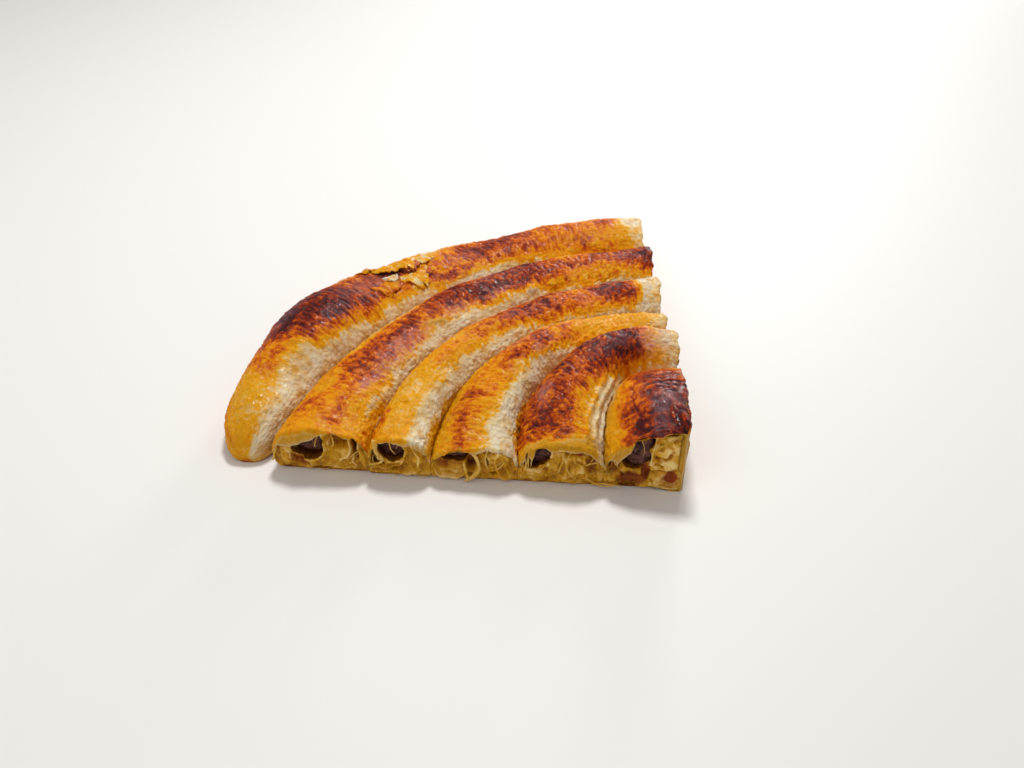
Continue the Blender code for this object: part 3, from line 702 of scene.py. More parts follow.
def relief(roll, share, across, height, crust):
    """How far the crust stands out, in millimetres: rounded lumps, ridges across the roll, fine grit, small
    bubbles and pleats low on the inner flank, all of them noise of the place, then round blisters, and long
    folds that step up and fade out. Also the fine part of it by itself."""
    long, wide = flat_place(roll, share, across)
    warp = 2.0 * noise(long / 12, wide / 12, roll + 30)
    lumps = crust.lump_height * cloud(long / 11, wide / 9, roll * 2.3, 2)
    ridged = 1.0 - np.abs(cloud((long + warp) / 2.6, (wide + warp) / 6.5, roll * 4.1, 2))
    burnt_top = (roll == 0) * smooth(0.5, 0.8, across)
    wrinkles = crust.wrinkle_depth * (ridged**2 - 0.5) * (1.0 + 0.9 * burnt_top)
    fine = 0.10 * cloud((long + warp) / 1.3, wide / 1.8, roll * 6.3, 2)
    rough = smooth(-0.5, 0.5, noise(long / 16, wide / 14, roll + 77))
    pimples = rough * bubbles(long / 2.3, wide / 2.0, roll) + 0.5 * bubbles(long / 1.5, wide / 1.3, roll + 9)
    low_flank = smooth(0.55, 0.80, across)
    pleats = 0.20 * low_flank * (1.0 - np.abs(noise((long + warp) / 1.5, wide / 9.0, roll + 21)))
    detail = wrinkles * (1.2 - 0.5 * rough) + fine + crust.pimple_height * pimples + pleats
    total = lumps + detail
    length = roll_length(roll)
    long, wide = share * length, across * ARCH_FLAT
    for along, over, radius, rise in BLISTERS.get(roll, ()):
        away = np.hypot(long - along * length, wide - over * ARCH_FLAT) / radius
        total = total + rise * np.sqrt(np.clip(1.0 - away**2, 0.0, None))
    for along, over, along_end, over_end, rise, width in FOLDS[roll]:
        run, climb = (along_end - along) * length, (over_end - over) * ARCH_FLAT
        reach = math.hypot(run, climb)
        x, y = long - along * length, wide - over * ARCH_FLAT
        t = (x * run + y * climb) / reach**2
        away = (y * run - x * climb) / reach + 1.2 * noise(long / 9, wide / 30, rise * 50)
        taper = smooth(0.0, 0.15, t) * (1.0 - smooth(0.85, 1.0, t))
        step = smooth(-width / 2, width / 4, away) * np.exp(-np.clip(away, 0.0, None) / (2.2 * width))
        total = total + rise * taper * step
    wall = smooth(PRESSED[roll] - 1.0, PRESSED[roll] + 4.0, height)
    if roll == OUTERMOST:
        wall = np.where(across < 0.5, smooth(0.5, 5.0, height), wall)
    return total * wall, (detail - detail.mean()) * wall


def on_walls(across):
    """1 on a roll's walls and base, 0 on its arch."""
    return smooth(0.49, 0.53, np.abs(across - 0.5))


def cut_edge(roll, cut, across):
    """How far a crust's edge stands proud of a cut: noise round the edge, with the walls drawn back."""
    wobble = noise(across * 9.0, roll * 3.3 + cut * 7.7, 2.2)
    wobble = wobble + 0.5 * noise(across * 27.0, roll * 3.3, cut * 9.1)
    wall = on_walls(across)
    return 0.9 * wobble * (1.0 - 0.8 * wall) - DRAWN_BACK * wall


def lip_length(across, roll, cut, radius, height):
    """How far the lip of crust hangs over a cut: at the front down to its lower edge's corners, at the right
    a jagged general length and a drip; both a little jagged."""
    jag = 0.55 + 0.45 * noise(across * 22.0, roll * 5.0, cut + 0.5)
    jag = jag + 0.35 * noise(across * 60.0, roll * 5.0, cut + 3.5)
    if cut == 0:
        corner_r, corner_z = np.reshape(LIP_EDGES[roll], (-1, 2)).T
        length = height - np.interp(radius, corner_r, corner_z) + 0.5 * (jag - 0.55)
        length = np.clip(length, 0.25, None)
    else:
        general, over, drop, half = LIPS[roll]
        length = general * np.clip(jag, 0.1, None)
        length = length + drop * np.exp(-(((across - over) / half) ** 2) ** 1.2)
    return length * smooth(0.02, 0.06, across) * (1.0 - smooth(0.94, 0.98, across))


def flat_faces(rows, count, wrap):
    """Four-cornered faces of a grid of rows with count columns each, which close into rings; wrap also
    closes the rows."""
    last = rows if wrap else rows - 1
    row = np.arange(last)[:, None]
    column = np.arange(count)[None, :]
    after = (row + 1) % rows
    beside = (column + 1) % count
    corners = [row * count + column, row * count + beside, after * count + beside, after * count + column]
    return np.stack(np.broadcast_arrays(*corners), axis=-1).reshape(-1, 4)


def fan(centre, ring):
    """Triangles from a centre point to the edges of a ring."""
    return np.stack([np.full(len(ring), centre), ring, np.roll(ring, -1)], axis=-1)


def capped(rows):
    """The points, faces and end fans of a grid of rows that is closed round the middles of its end rows."""
    count = rows.shape[1]
    total = len(rows) * count
    ring = np.arange(count)
    fans = [fan(total, ring[::-1]), fan(total + 1, total - count + ring)]
    points = np.concatenate([rows.reshape(-1, 3), [rows[0].mean(axis=0), rows[-1].mean(axis=0)]])
    return points, flat_faces(len(rows), count, False), fans


def make_piece(name, points, quads, fans, material, bake_values=None):
    """Makes a closed mesh from points and faces, turns it outwards by its signed volume, and rides it."""
    corners = [quads[:, [0, 1, 2]], quads[:, [0, 2, 3]]] + list(fans)
    triangles = points[np.concatenate(corners)]
    volume = np.einsum("ij,ij->i", triangles[:, 0], np.cross(triangles[:, 1], triangles[:, 2])).sum()
    if volume < 0.0:
        quads = quads[:, ::-1]
        fans = [each[:, ::-1] for each in fans]
    faces = quads.tolist() + [face for each in fans for face in each.tolist()]
    mesh = bpy.data.meshes.new(name)
    mesh.from_pydata(points.tolist(), [], faces)
    mesh.shade_smooth()
    if bake_values is not None:
        layer = mesh.attributes.new("bake", "FLOAT_VECTOR", "POINT")
        layer.data.foreach_set("vector", np.ascontiguousarray(bake_values, dtype=np.float32).ravel())
    mesh.materials.append(material)
    item = bpy.data.objects.new(name, mesh)
    bpy.context.scene.collection.objects.link(item)
    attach(item, "root")
    return item


def lip_rows(roll, cut, radius, height, across):
    """Rows of the lip that hangs from a crust's edge at a cut, from the edge to its tip: evenly down, and out
    by a curve that levels off."""
    length = lip_length(across, roll, cut, radius, height)
    t = LIP_STEPS[:, None]
    out = cut_edge(roll, cut, across) + 1.1 * (1.0 - np.exp(-t * length / 1.2))
    drop = length * t * 0.92
    inward = 0.25 * length * t**2 * np.sign(across - 0.5) * smooth(0.25, 0.5, np.abs(across - 0.5))
    advance = out if cut else -out
    return place(radius + 0.0 * t + inward, height - drop, bearing(roll, float(cut)), advance)


def blunt_tip(body, distance):
    """Draws rows in towards a low middle over the last of their distance to a roll's closed end, by a
    quarter circle. Returns also the sizes."""
    short = np.maximum(0.0, 1.0 - distance / TIP_LENGTH)
    size = (TIP_LEAST + (1.0 - TIP_LEAST) * np.sqrt(1.0 - short**2))[:, None, None]
    centre = body.mean(axis=1, keepdims=True)
    centre[..., 2] = TIP_HEIGHT * MM
    body = centre + (body - centre) * size
    body[..., 2] = np.maximum(body[..., 2] - TIP_HEIGHT * MM * (1.0 - size[..., 0]), 0.0)
    return body, size[..., 0]


def crust_body(roll, share, across, under, crust):
    """A crust's outer skin between the cuts: the outline with ragged ends, raised by its relief. Returns
    also the rise, and browning, butter and mauve skin with its painted sheen, which turn to dough on the
    walls near a cut. The browning is lightened on ridges of the fine relief and darkened in its hollows:
    painted light and shade."""
    length = roll_length(roll)
    radius, height = outline(roll, share)
    near_front = np.exp(-share * length / EDGE_REACH)[:, None]
    near_right = np.exp(-(1.0 - share) * length / EDGE_REACH)[:, None]
    still = np.clip(radius / POLE_CALM - 1.0, 0.0, 1.0)
    advance = cut_edge(roll, 1, across) * near_right * still
    if roll != OUTERMOST:
        advance = advance - cut_edge(roll, 0, across) * near_front * still
    body = place(radius, height, bearing(roll, share)[:, None], advance)
    rise, detail = relief(roll, share[:, None], across[None, :], height, crust)
    rise = rise * (1.0 - under)
    if roll == OUTERMOST:
        body, size = blunt_tip(body, share * length)
        rise = rise * size
    body = body + normals(body, len(share) // 2) * rise[..., None] * MM
    tones = np.stack(bake(roll, share[:, None], across[None, :], under[None, :]), axis=-1)
    # Painted light and shade: the browning is lightened on ridges of the fine relief and darkened in its
    # hollows.
    proud = np.clip(detail / 0.4, -1.0, 1.0) * smooth(0.15, 0.5, tones[..., 0]) * (1.0 - under)
    tones[..., 0] = np.clip(tones[..., 0] - 0.19 * proud, 0.0, 1.0)
    doughy = np.maximum(near_front * (roll != OUTERMOST), near_right) ** 0.6 * on_walls(across)
    tones[..., 0] = tones[..., 0] * (1.0 - doughy) + LINING_BAKE * doughy
    tones[..., 1] = np.maximum(tones[..., 1], doughy)
    return body, rise, tones


def crust_lip(roll, cut, edge, rise, edge_tone, across):
    """The lip at a cut and its tones: it hangs from the body's edge, paler and more buttery towards its
    torn rim, and is held still at the point of the quarter."""
    radius, height = (each[0] for each in outline(roll, np.array([float(cut)])))
    height = height + rise
    lip = lip_rows(roll, cut, radius, height, across)
    lip = edge + (lip - edge) * np.clip(radius / POLE_CALM - 1.0, 0.0, 1.0)[None, :, None]
    lip[..., 2] = np.maximum(lip[..., 2], 0.0)
    t = LIP_STEPS[:, None]
    hang = lip_length(across, roll, cut, radius, height)
    worn = smooth(0.2, 1.0, np.clip(hang * t / 3.0, 0.0, 1.0))
    rim = smooth(0.72, 0.95, t) * np.clip(hang - 0.6, 0.0, 1.0)
    tone = np.repeat(edge_tone[None], LIP_ROWS, axis=0)
    tone[..., 0] = (tone[..., 0] * (1.0 - worn) + 0.05 * worn) * (1.0 - 0.7 * rim)
    tone[..., 1] = np.maximum(tone[..., 1], worn) * (1.0 - 0.6 * rim)
    return lip, tone


def lining_rows(roll, count):
    """The rows of a crust that its inside keeps: close together near the cuts and far apart between."""
    step = ROW_STEPS[roll]
    rim = int(RIM_DEPTH / step)
    near = np.arange(0, rim, int(round(RIM_ROW_STEP / step)))
    between = np.arange(rim, count - rim, int(BORE_ROW_STEP / step))
    picks = np.unique(np.concatenate([near, between, count - 1 - near]))
    return picks[picks >= BLIND_END / step - 1.0] if roll == OUTERMOST else picks


def crust_points(roll, crust):
    """A crust as one closed skin: lip, outer rows, lip, and back through the inside, which follows the
    outside near a cut and the bore farther in. Returns the outer and the inner points in rows, and
    browning, butter and mauve for each."""
    across, under = columns()
    length = roll_length(roll)
    share = np.linspace(0.0, 1.0, int(length / ROW_STEPS[roll]) + 1)
    body, rise, tones = crust_body(roll, share, across, under, crust)
    thin = crust.wall + (crust.lip - crust.wall) * LIP_STEPS
    lip, tone = crust_lip(roll, 1, body[-1], rise[-1], tones[-1], across)
    rows, tone_rows, walls = [body, lip], [tones, tone], [np.full(len(share), crust.wall), thin]
    if roll != OUTERMOST:
        lip, tone = crust_lip(roll, 0, body[0], rise[0], tones[0], across)
        rows, tone_rows, walls = [lip[::-1], *rows], [tone[::-1], *tone_rows], [thin[::-1], *walls]
    outer, outer_tone, wall = (np.concatenate(each) for each in (rows, tone_rows, walls))
    front = 0 if roll == OUTERMOST else LIP_ROWS
    outward = normals(outer, front + len(share) // 2)
    slim = 1.0 - 0.6 * smooth(0.42, 0.56, np.abs(across - 0.5))
    lined = outer - outward * (wall[:, None] * slim)[..., None] * MM
    lined[..., 2] = np.maximum(lined[..., 2], 0.35 * MM)
    picks = lining_rows(roll, len(share))
    depth = (1.0 - share[picks]) * length
    if roll != OUTERMOST:
        depth = np.minimum(depth, share[picks] * length)
    deep = smooth(RIM_DEPTH * 0.4, RIM_DEPTH, depth)[:, None, None]
    bore = place(*bore_outline(roll, share[picks]), bearing(roll, share[picks])[:, None])
    inside = lined[picks + front] * (1.0 - deep) + bore * deep
    inner = np.concatenate([lined[:front], inside, lined[front + len(share) :]])[::-1]
    inner_tone = np.zeros(inner.shape)
    inner_tone[..., 0], inner_tone[..., 1] = LINING_BAKE, 0.9
    inner_tone[:LIP_ROWS, :, 0] = 0.3 * outer_tone[-LIP_ROWS:][::-1][..., 0] + 0.03
    return outer, inner, outer_tone, inner_tone


def colour(name, description, default):
    """A setting for a colour."""
    return FloatVectorProperty(name=name, description=description, subtype="COLOR", default=default)


def measure(name, description, default):
    """A setting for a length, a power or a strength, none of them below 0."""
    return FloatProperty(name=name, description=description, default=default, min=0.0)


class BurekCrustSettings(bpy.types.PropertyGroup):
    """Sizes and colours of the baked crusts."""

    wall: measure("Crust thickness", "Thickness of the crust at a cut, in millimetres", 1.1)
    lip: measure("Lip thickness", "Thickness of the torn lip's edge, in millimetres", 0.45)
    lump_height: measure("Lump height", "Height of the crust's rounded lumps, in millimetres", 0.42)
    wrinkle_depth: measure("Wrinkle depth", "Depth of the wrinkles across a roll, in millimetres", 0.56)
    pimple_height: measure("Pimple height", "Height of the small bubbles, in millimetres", 0.50)
    roughness: FloatProperty(
        name="Roughness", description="Mean roughness of the oiled crust", default=0.34, min=0.0, max=1.0
    )
    white: colour("White dough", "Unbrowned dough", (0.80, 0.69, 0.49))
    butter: colour("Buttered dough", "Thin oiled dough", (0.62, 0.285, 0.005))
    cream: colour("Cream", "Barely baked crust", (0.86, 0.60, 0.20))
    yellow: colour("Yellow", "Lightly baked crust", (0.82, 0.37, 0.002))
    golden: colour("Golden", "Golden crust", (0.76, 0.25, 0.002))
    orange: colour("Orange", "Well baked crust", (0.64, 0.125, 0.002))
    russet: colour("Russet", "Red-brown crust", (0.40, 0.050, 0.003))
    wine: colour("Wine brown", "Dark red-brown crust", (0.21, 0.018, 0.007))
    burnt: colour("Burnt", "Burnt crust", (0.055, 0.010, 0.010))
    # Painted highlights: light peach flecks on the grain of the brown crust.
    peach_highlight: colour("Peach flecks", "Dry tips of the grain", (0.82, 0.42, 0.14))
    # The mauve and pink skins are partly the crust's dry skin and partly painted sheen; the lilac skin on
    # burnt crust is painted sheen.
    mauve_skin_and_sheen: colour("Mauve skin", "Dry skin on dark crust", (0.50, 0.19, 0.15))
    pink_skin_and_sheen: colour("Pink skin", "Dry skin on pale crust", (0.74, 0.42, 0.31))
    lilac_sheen: colour("Lilac skin", "Dry skin on burnt crust", (0.25, 0.14, 0.155))


class BurekInsideSettings(bpy.types.PropertyGroup):
    """Sizes and colours of the dough sheets and the minced meat that show at the cuts."""

    face_depth: measure("Face depth", "How far the dough runs in from a cut, in millimetres", 12.0)
    layer: measure("Layer spacing", "Between layer edges, in millimetres", 3.0)
    fold: measure("Fold height", "Of the soft folds, in millimetres", 1.4)
    edge: measure("Edge height", "Of the layer edges, in millimetres", 0.7)
    strands: IntProperty(name="Strands", description="Loose strands hanging at each cut", default=6)
    dough: colour("Dough", "Stretched oiled dough", (0.66, 0.33, 0.012))
    dough_pale: colour("Pale dough", "Dry torn edges", (0.90, 0.62, 0.22))
    dough_soaked: colour("Soaked dough", "Dough full of oil", (0.42, 0.175, 0.006))
    # Also painted shade: the dough's tone falls towards this deep in the openings and in the sunk hollows.
    dark_dough_and_shade: colour("Dark dough", "Dough soaked by the meat", (0.10, 0.026, 0.006))
    toasted: colour("Toasted dough", "Red-brown dough", (0.27, 0.038, 0.002))
    meat: colour("Meat", "Minced meat", (0.15, 0.056, 0.042))
    meat_dark: colour("Dark meat", "Meat in the hollows", (0.028, 0.007, 0.006))
    meat_light: colour("Light meat", "Grains that catch the light", (0.28, 0.125, 0.08))


class BurekStageSettings(bpy.types.PropertyGroup):
    """The camera, the lights and the floor."""

    eye: FloatVectorProperty(
        name="Eye", description="Where the camera stands", subtype="XYZ", default=(0.0459, -0.3731, 0.2721)
    )
    aim: FloatVectorProperty(
        name="Aim", description="The way it looks", subtype="DIRECTION", default=(-0.0588, 0.7825, -0.6199)
    )
    lens: measure("Lens", "Focal length in millimetres", 35.156)
    floor: colour("Floor", "Colour of the floor", (0.86, 0.84, 0.81))
    sky: measure("Sky strength", "Light from all round", 0.36)
    key: measure("Key light", "Power of the light overhead, in watts", 5.2)
    window: measure("Window light", "Power of the light behind, in watts", 3.0)
    fill: measure("Fill light", "Power of the light in front, in watts", 1.7)


def new_material(name):
    """An empty node material with its shader."""
    material = bpy.data.materials.new(name)
    material.use_nodes = True
    return material, material.node_tree, material.node_tree.nodes["Principled BSDF"]


def add_node(tree, kind, **inputs):
    """Adds a node and sets or links its inputs, given by name with underscores for spaces."""
    node = tree.nodes.new(kind)
    for name, value in inputs.items():
        set_input(tree, node.inputs[name.replace("_", " ")], value)
    return node


def set_input(tree, socket, value):
    """Links a node's output to an input, or sets the input's value."""
    if isinstance(value, bpy.types.NodeSocket):
        tree.links.new(value, socket)
    else:
        socket.default_value = value


def calculate(tree, operation, first, second=0.0, clamp=False):
    """A Math node's result."""
    node = tree.nodes.new("ShaderNodeMath")
    node.operation = operation
    node.use_clamp = clamp
    set_input(tree, node.inputs[0], first)
    set_input(tree, node.inputs[1], second)
    return node.outputs[0]


def times(tree, value, *factors):
    """A value multiplied by factors, one after the other."""
    for factor in factors:
        value = calculate(tree, "MULTIPLY", value, factor)
    return value


def centred(tree, value, gain):
    """A noise texture's value with its middle at 0, times a gain."""
    return times(tree, calculate(tree, "SUBTRACT", value, 0.5), gain)


def above(tree, value, start, gain):
    """How far a value lies above a start, times a gain, kept between 0 and 1."""
    return calculate(tree, "MULTIPLY", calculate(tree, "SUBTRACT", value, start), gain, clamp=True)


def plus(tree, first, second, gain=1.0):
    """A value plus a second one times a gain."""
    return calculate(tree, "ADD", first, second if gain == 1.0 else times(tree, second, gain))


def mix_colours(tree, factor, first, second):
    """A colour between two, by a factor."""
    node = tree.nodes.new("ShaderNodeMix")
    node.data_type = "RGBA"
    set_input(tree, node.inputs[0], factor)
    for index, value in ((6, first), (7, second)):
        linked = isinstance(value, bpy.types.NodeSocket)
        set_input(tree, node.inputs[index], value if linked else (*value, 1.0))
    return node.outputs[2]


def speckle(tree, coordinates, scale, detail, roughness, distortion=0.0):
    """A noise texture's value."""
    inputs = {"Scale": scale, "Detail": detail, "Roughness": roughness, "Distortion": distortion}
    return add_node(tree, "ShaderNodeTexNoise", Vector=coordinates, **inputs).outputs["Fac"]


def add_ramp(tree, factor, stops):
    """A colour ramp through stops of place and colour."""
    node = tree.nodes.new("ShaderNodeValToRGB")
    elements = node.color_ramp.elements
    elements.remove(elements[-1])
    for number, (spot, colour) in enumerate(stops):
        element = elements.new(spot) if number else elements[0]
        element.position = spot
        element.color = (*colour, 1.0)
    tree.links.new(factor, node.inputs["Fac"])
    return node.outputs["Color"]


def piece_values(tree):
    """The three values that a mesh carries for its looks."""
    attribute = tree.nodes.new("ShaderNodeAttribute")
    attribute.attribute_name = "bake"
    return add_node(tree, "ShaderNodeSeparateXYZ", Vector=attribute.outputs["Vector"]).outputs


def finish_shader(tree, shader, colour, gloss, bump, **fixed):
    """Gives a shader its colour, its roughness, a bump of strength, distance and height, and the inputs
    that are the same all over, by name with underscores for spaces."""
    strength, distance, height = bump
    normal = add_node(tree, "ShaderNodeBump", Strength=strength, Distance=distance, Height=height)
    fixed = {name.replace("_", " "): value for name, value in fixed.items()}
    links = {"Base Color": colour, "Roughness": gloss, "Normal": normal.outputs["Normal"]}
    for name, value in (fixed | links).items():
        set_input(tree, shader.inputs[name], value)


def crust_material(crust):
    """Baked crust: the browning of the mesh, broken up by noise at three sizes, runs through a ramp from
    cream to burnt over white or buttered dough. Butter tints what is pale; where the mesh says, a mauve
    skin lies, partly dry skin and partly painted sheen, which turns to a lilac painted sheen on burnt crust;
    painted highlights lie as light peach flecks on what is brown, and thin seams run over what is pale."""
    material, tree, shader = new_material("baked_crust")
    coordinates = tree.nodes.new("ShaderNodeTexCoord").outputs["Object"]
    brown, butter, mauve_skin_and_sheen = piece_values(tree)
    broad = speckle(tree, coordinates, 150.0, 5.0, 0.6)
    small = speckle(tree, coordinates, 620.0, 4.0, 0.65)
    grit = speckle(tree, coordinates, 1700.0, 2.0, 0.6)
    uneven = plus(tree, centred(tree, broad, 0.70), centred(tree, small, 0.80))
    uneven = plus(tree, uneven, centred(tree, grit, 0.40))
    baked = above(tree, brown, 0.10, 3.0)
    uneven = times(tree, uneven, plus(tree, 0.25, baked, 0.75))
    shade = calculate(tree, "ADD", brown, uneven, clamp=True)
    shades = (crust.cream, crust.yellow, crust.golden, crust.orange, crust.russet, crust.wine, crust.burnt)
    browned = add_ramp(tree, shade, zip((0.05, 0.18, 0.38, 0.53, 0.67, 0.81, 0.97), shades))
    reach = calculate(tree, "MULTIPLY", shade, 6.0, clamp=True)
    colour = mix_colours(tree, reach, mix_colours(tree, butter, crust.white, crust.butter), browned)
    oiled = calculate(tree, "MULTIPLY", calculate(tree, "SUBTRACT", 0.75, brown), 1.6, clamp=True)
    colour = mix_colours(tree, times(tree, butter, oiled, 0.7), colour, crust.butter)
    # Patches of the mauve skin and its painted sheen, by the fine noise.
    skin_and_sheen_patches = plus(tree, 0.3, above(tree, small, 0.44, 7.0), 0.6)
    burnt = above(tree, brown, 0.74, 6.0)
    # The skin is partly the crust's dry skin and partly painted sheen; on burnt crust it turns to the lilac
    # painted sheen.
    skin = mix_colours(tree, above(tree, brown, 0.18, 3.5), crust.pink_skin_and_sheen, crust.mauve_skin_and_sheen)
    skin = mix_colours(tree, burnt, skin, crust.lilac_sheen)
    colour = mix_colours(tree, times(tree, skin_and_sheen_patches, mauve_skin_and_sheen), colour, skin)
    # Painted highlights: light peach flecks on the grain of what is brown, fading out where it is burnt.
    highlight_fleck = times(tree, above(tree, small, 0.60, 9.0), 0.5, above(tree, brown, 0.30, 2.5))
    highlight_fleck = times(tree, highlight_fleck, calculate(tree, "SUBTRACT", 1.0, burnt))
    colour = mix_colours(tree, highlight_fleck, colour, crust.peach_highlight)
    off_seam = calculate(tree, "SUBTRACT", speckle(tree, coordinates, 105.0, 2.0, 0.5, 0.8), 0.5)
    off_seam = times(tree, calculate(tree, "ABSOLUTE", off_seam), 45.0)
    seam = calculate(tree, "SUBTRACT", 1.0, off_seam, clamp=True)
    pale = calculate(tree, "SUBTRACT", 1.0, times(tree, brown, 1.25), clamp=True)
    seam = times(tree, seam, above(tree, broad, 0.5, 6.0), pale, 0.6)
    colour = mix_colours(tree, seam, colour, crust.cream)
    gloss = plus(tree, crust.roughness - 0.17, small, 0.34)
    height = plus(tree, plus(tree, small, grit, 0.6), seam, 0.6)
    finish_shader(
        tree,
        shader,
        colour,
        gloss,
        (0.8, 0.0009, height),
        Specular_IOR_Level=0.05,
        Coat_Weight=0.12,
        Coat_Roughness=0.07,
        Subsurface_Weight=0.12,
        Subsurface_Radius=(1.0, 0.5, 0.15),
        Subsurface_Scale=0.0015,
    )
    return material


def dough_material(inside):
    """Stretched dough, moist: by the mesh's tone, broken up by noise, it runs from dark, which is soaked
    dough and painted shade deep in the openings and in the hollows, over oiled to pale at its torn edges,
    and red-brown lies where the mesh says that it is toasted."""
    material, tree, shader = new_material("stretched_dough")
    coordinates = tree.nodes.new("ShaderNodeTexCoord").outputs["Object"]
    tone, toast, _ = piece_values(tree)
    patch = speckle(tree, coordinates, 230.0, 4.0, 0.6)
    fine = speckle(tree, coordinates, 1300.0, 3.0, 0.6)
    spread = plus(tree, centred(tree, patch, 0.9), centred(tree, fine, 0.25))
    shade = calculate(tree, "ADD", tone, spread, clamp=True)
    shades = (inside.dark_dough_and_shade, inside.dough_soaked, inside.dough, inside.dough_pale)
    colour = add_ramp(tree, shade, zip((0.05, 0.35, 0.60, 0.92), shades))
    toasting = calculate(tree, "MULTIPLY", toast, plus(tree, 0.4, patch, 1.2), clamp=True)
    colour = mix_colours(tree, toasting, colour, inside.toasted)
    finish_shader(
        tree,
        shader,
        colour,
        plus(tree, 0.12, fine, 0.4),
        (0.4, 0.0004, fine),
        Specular_IOR_Level=0.14,
        Subsurface_Weight=0.25,
        Subsurface_Radius=(1.0, 0.6, 0.15),
        Subsurface_Scale=0.002,
    )
    return material


def meat_material(inside):
    """Minced meat: dark and lighter grains, moist."""
    material, tree, shader = new_material("minced_meat")
    coordinates = tree.nodes.new("ShaderNodeTexCoord").outputs["Object"]
    patch = speckle(tree, coordinates, 420.0, 4.0, 0.7)
    fine = speckle(tree, coordinates, 2200.0, 3.0, 0.6)
    shades = (inside.meat_dark, inside.meat, inside.meat_light)
    colour = add_ramp(tree, patch, zip((0.38, 0.55, 0.72), shades))
    finish_shader(
        tree, shader, colour, plus(tree, 0.15, fine, 0.5), (0.6, 0.0004, fine), Specular_IOR_Level=0.15
    )
    return material


class BUREK_OT_crusts(bpy.types.Operator):
    """Makes the six baked crusts, each a closed skin with torn lips over its cuts"""

    bl_idname = "burek.crusts"
    bl_label = "Baked crusts"

    def execute(self, context):
        crust = context.scene.burek_crust
        material = crust_material(crust)
        for roll in range(ROLLS):
            outer, inner, outer_tone, inner_tone = crust_points(roll, crust)
            rows = np.concatenate([outer, inner])
            values = np.concatenate([outer_tone, inner_tone]).reshape(-1, 3)
            if roll == OUTERMOST:
                points, quads, fans = capped(rows)
                values = np.concatenate([values, values[[0, -1]]])
            else:
                points, quads, fans = rows.reshape(-1, 3), flat_faces(*rows.shape[:2], True), []
            item = make_piece(f"crust_{ROLLS - roll}", points, quads, fans, material, values)
            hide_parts(f"roll_{ROLLS - roll}")
        return {"FINISHED"}


def end_loop(roll, share, inset, arch_inset):
    """The crust's outline at a share, drawn in by a little and by more on the arch, in even steps round
    it, starting at the outer side of the arch."""
    loop = np.concatenate(outline(roll, np.array([float(share)])))
    loop = np.append(loop, loop[:, :1], axis=1)
    along = np.append(0.0, np.cumsum(np.hypot(*np.diff(loop))))
    even = np.linspace(0.0, along[-1], FACE_COLUMNS + 1)[:-1]
    radius, height = (np.interp(even, along, each) for each in loop)
    slope_r, slope_z = (np.roll(each, -1) - np.roll(each, 1) for each in (radius, height))
    size = np.maximum(np.hypot(slope_r, slope_z), 1e-9)
    draw = inset + (arch_inset - inset) * smooth(PRESSED[roll] - 1.0, PRESSED[roll] + 3.0, height)
    return radius - draw * slope_z / size, np.maximum(height + draw * slope_r / size, 0.5)


def under_roof(roll, share, radius, height, thickness):
    """Heights kept below the arch at a share by the roof's thickness."""
    turn = np.linspace(0.0, math.pi if roll else math.pi / 2, ROOF_STEPS)[None, :]
    arch_radius, arch_height = arch(roll, np.array([[share]]), turn)
    roof = np.interp(radius, arch_radius[0, ::-1], arch_height[0, ::-1])
    return np.minimum(height, roof - thickness)


def opening_rim(roll, cut, cavity, angle):
    """The rim of a cut's opening at angles round its middle: through its corners at the front, an oval at
    the right."""
    middle_r, middle_z, half_r, half_z = cavity
    if cut:
        return 1.0 / np.hypot(np.cos(angle) / half_r, np.sin(angle) / half_z)
    corner_r, corner_z = np.reshape(OPENINGS[roll], (-1, 2)).T - np.array([[middle_r], [middle_z]])
    return np.interp(
        angle, np.arctan2(corner_z, corner_r), np.hypot(corner_r, corner_z), period=2 * math.pi
    )


def crease_distance(r, z, corners):
    """The distance from places on a cut to a line through corners, given as radius, height and so on."""
    corners = np.reshape(corners, (-1, 2))
    nearest = np.inf
    for (r0, z0), (r1, z1) in zip(corners[:-1], corners[1:]):
        run, climb = r1 - r0, z1 - z0
        t = np.clip(((r - r0) * run + (z - z0) * climb) / (run**2 + climb**2), 0.0, 1.0)
        nearest = np.minimum(nearest, np.hypot(r - r0 - t * run, z - z0 - t * climb))
    return nearest


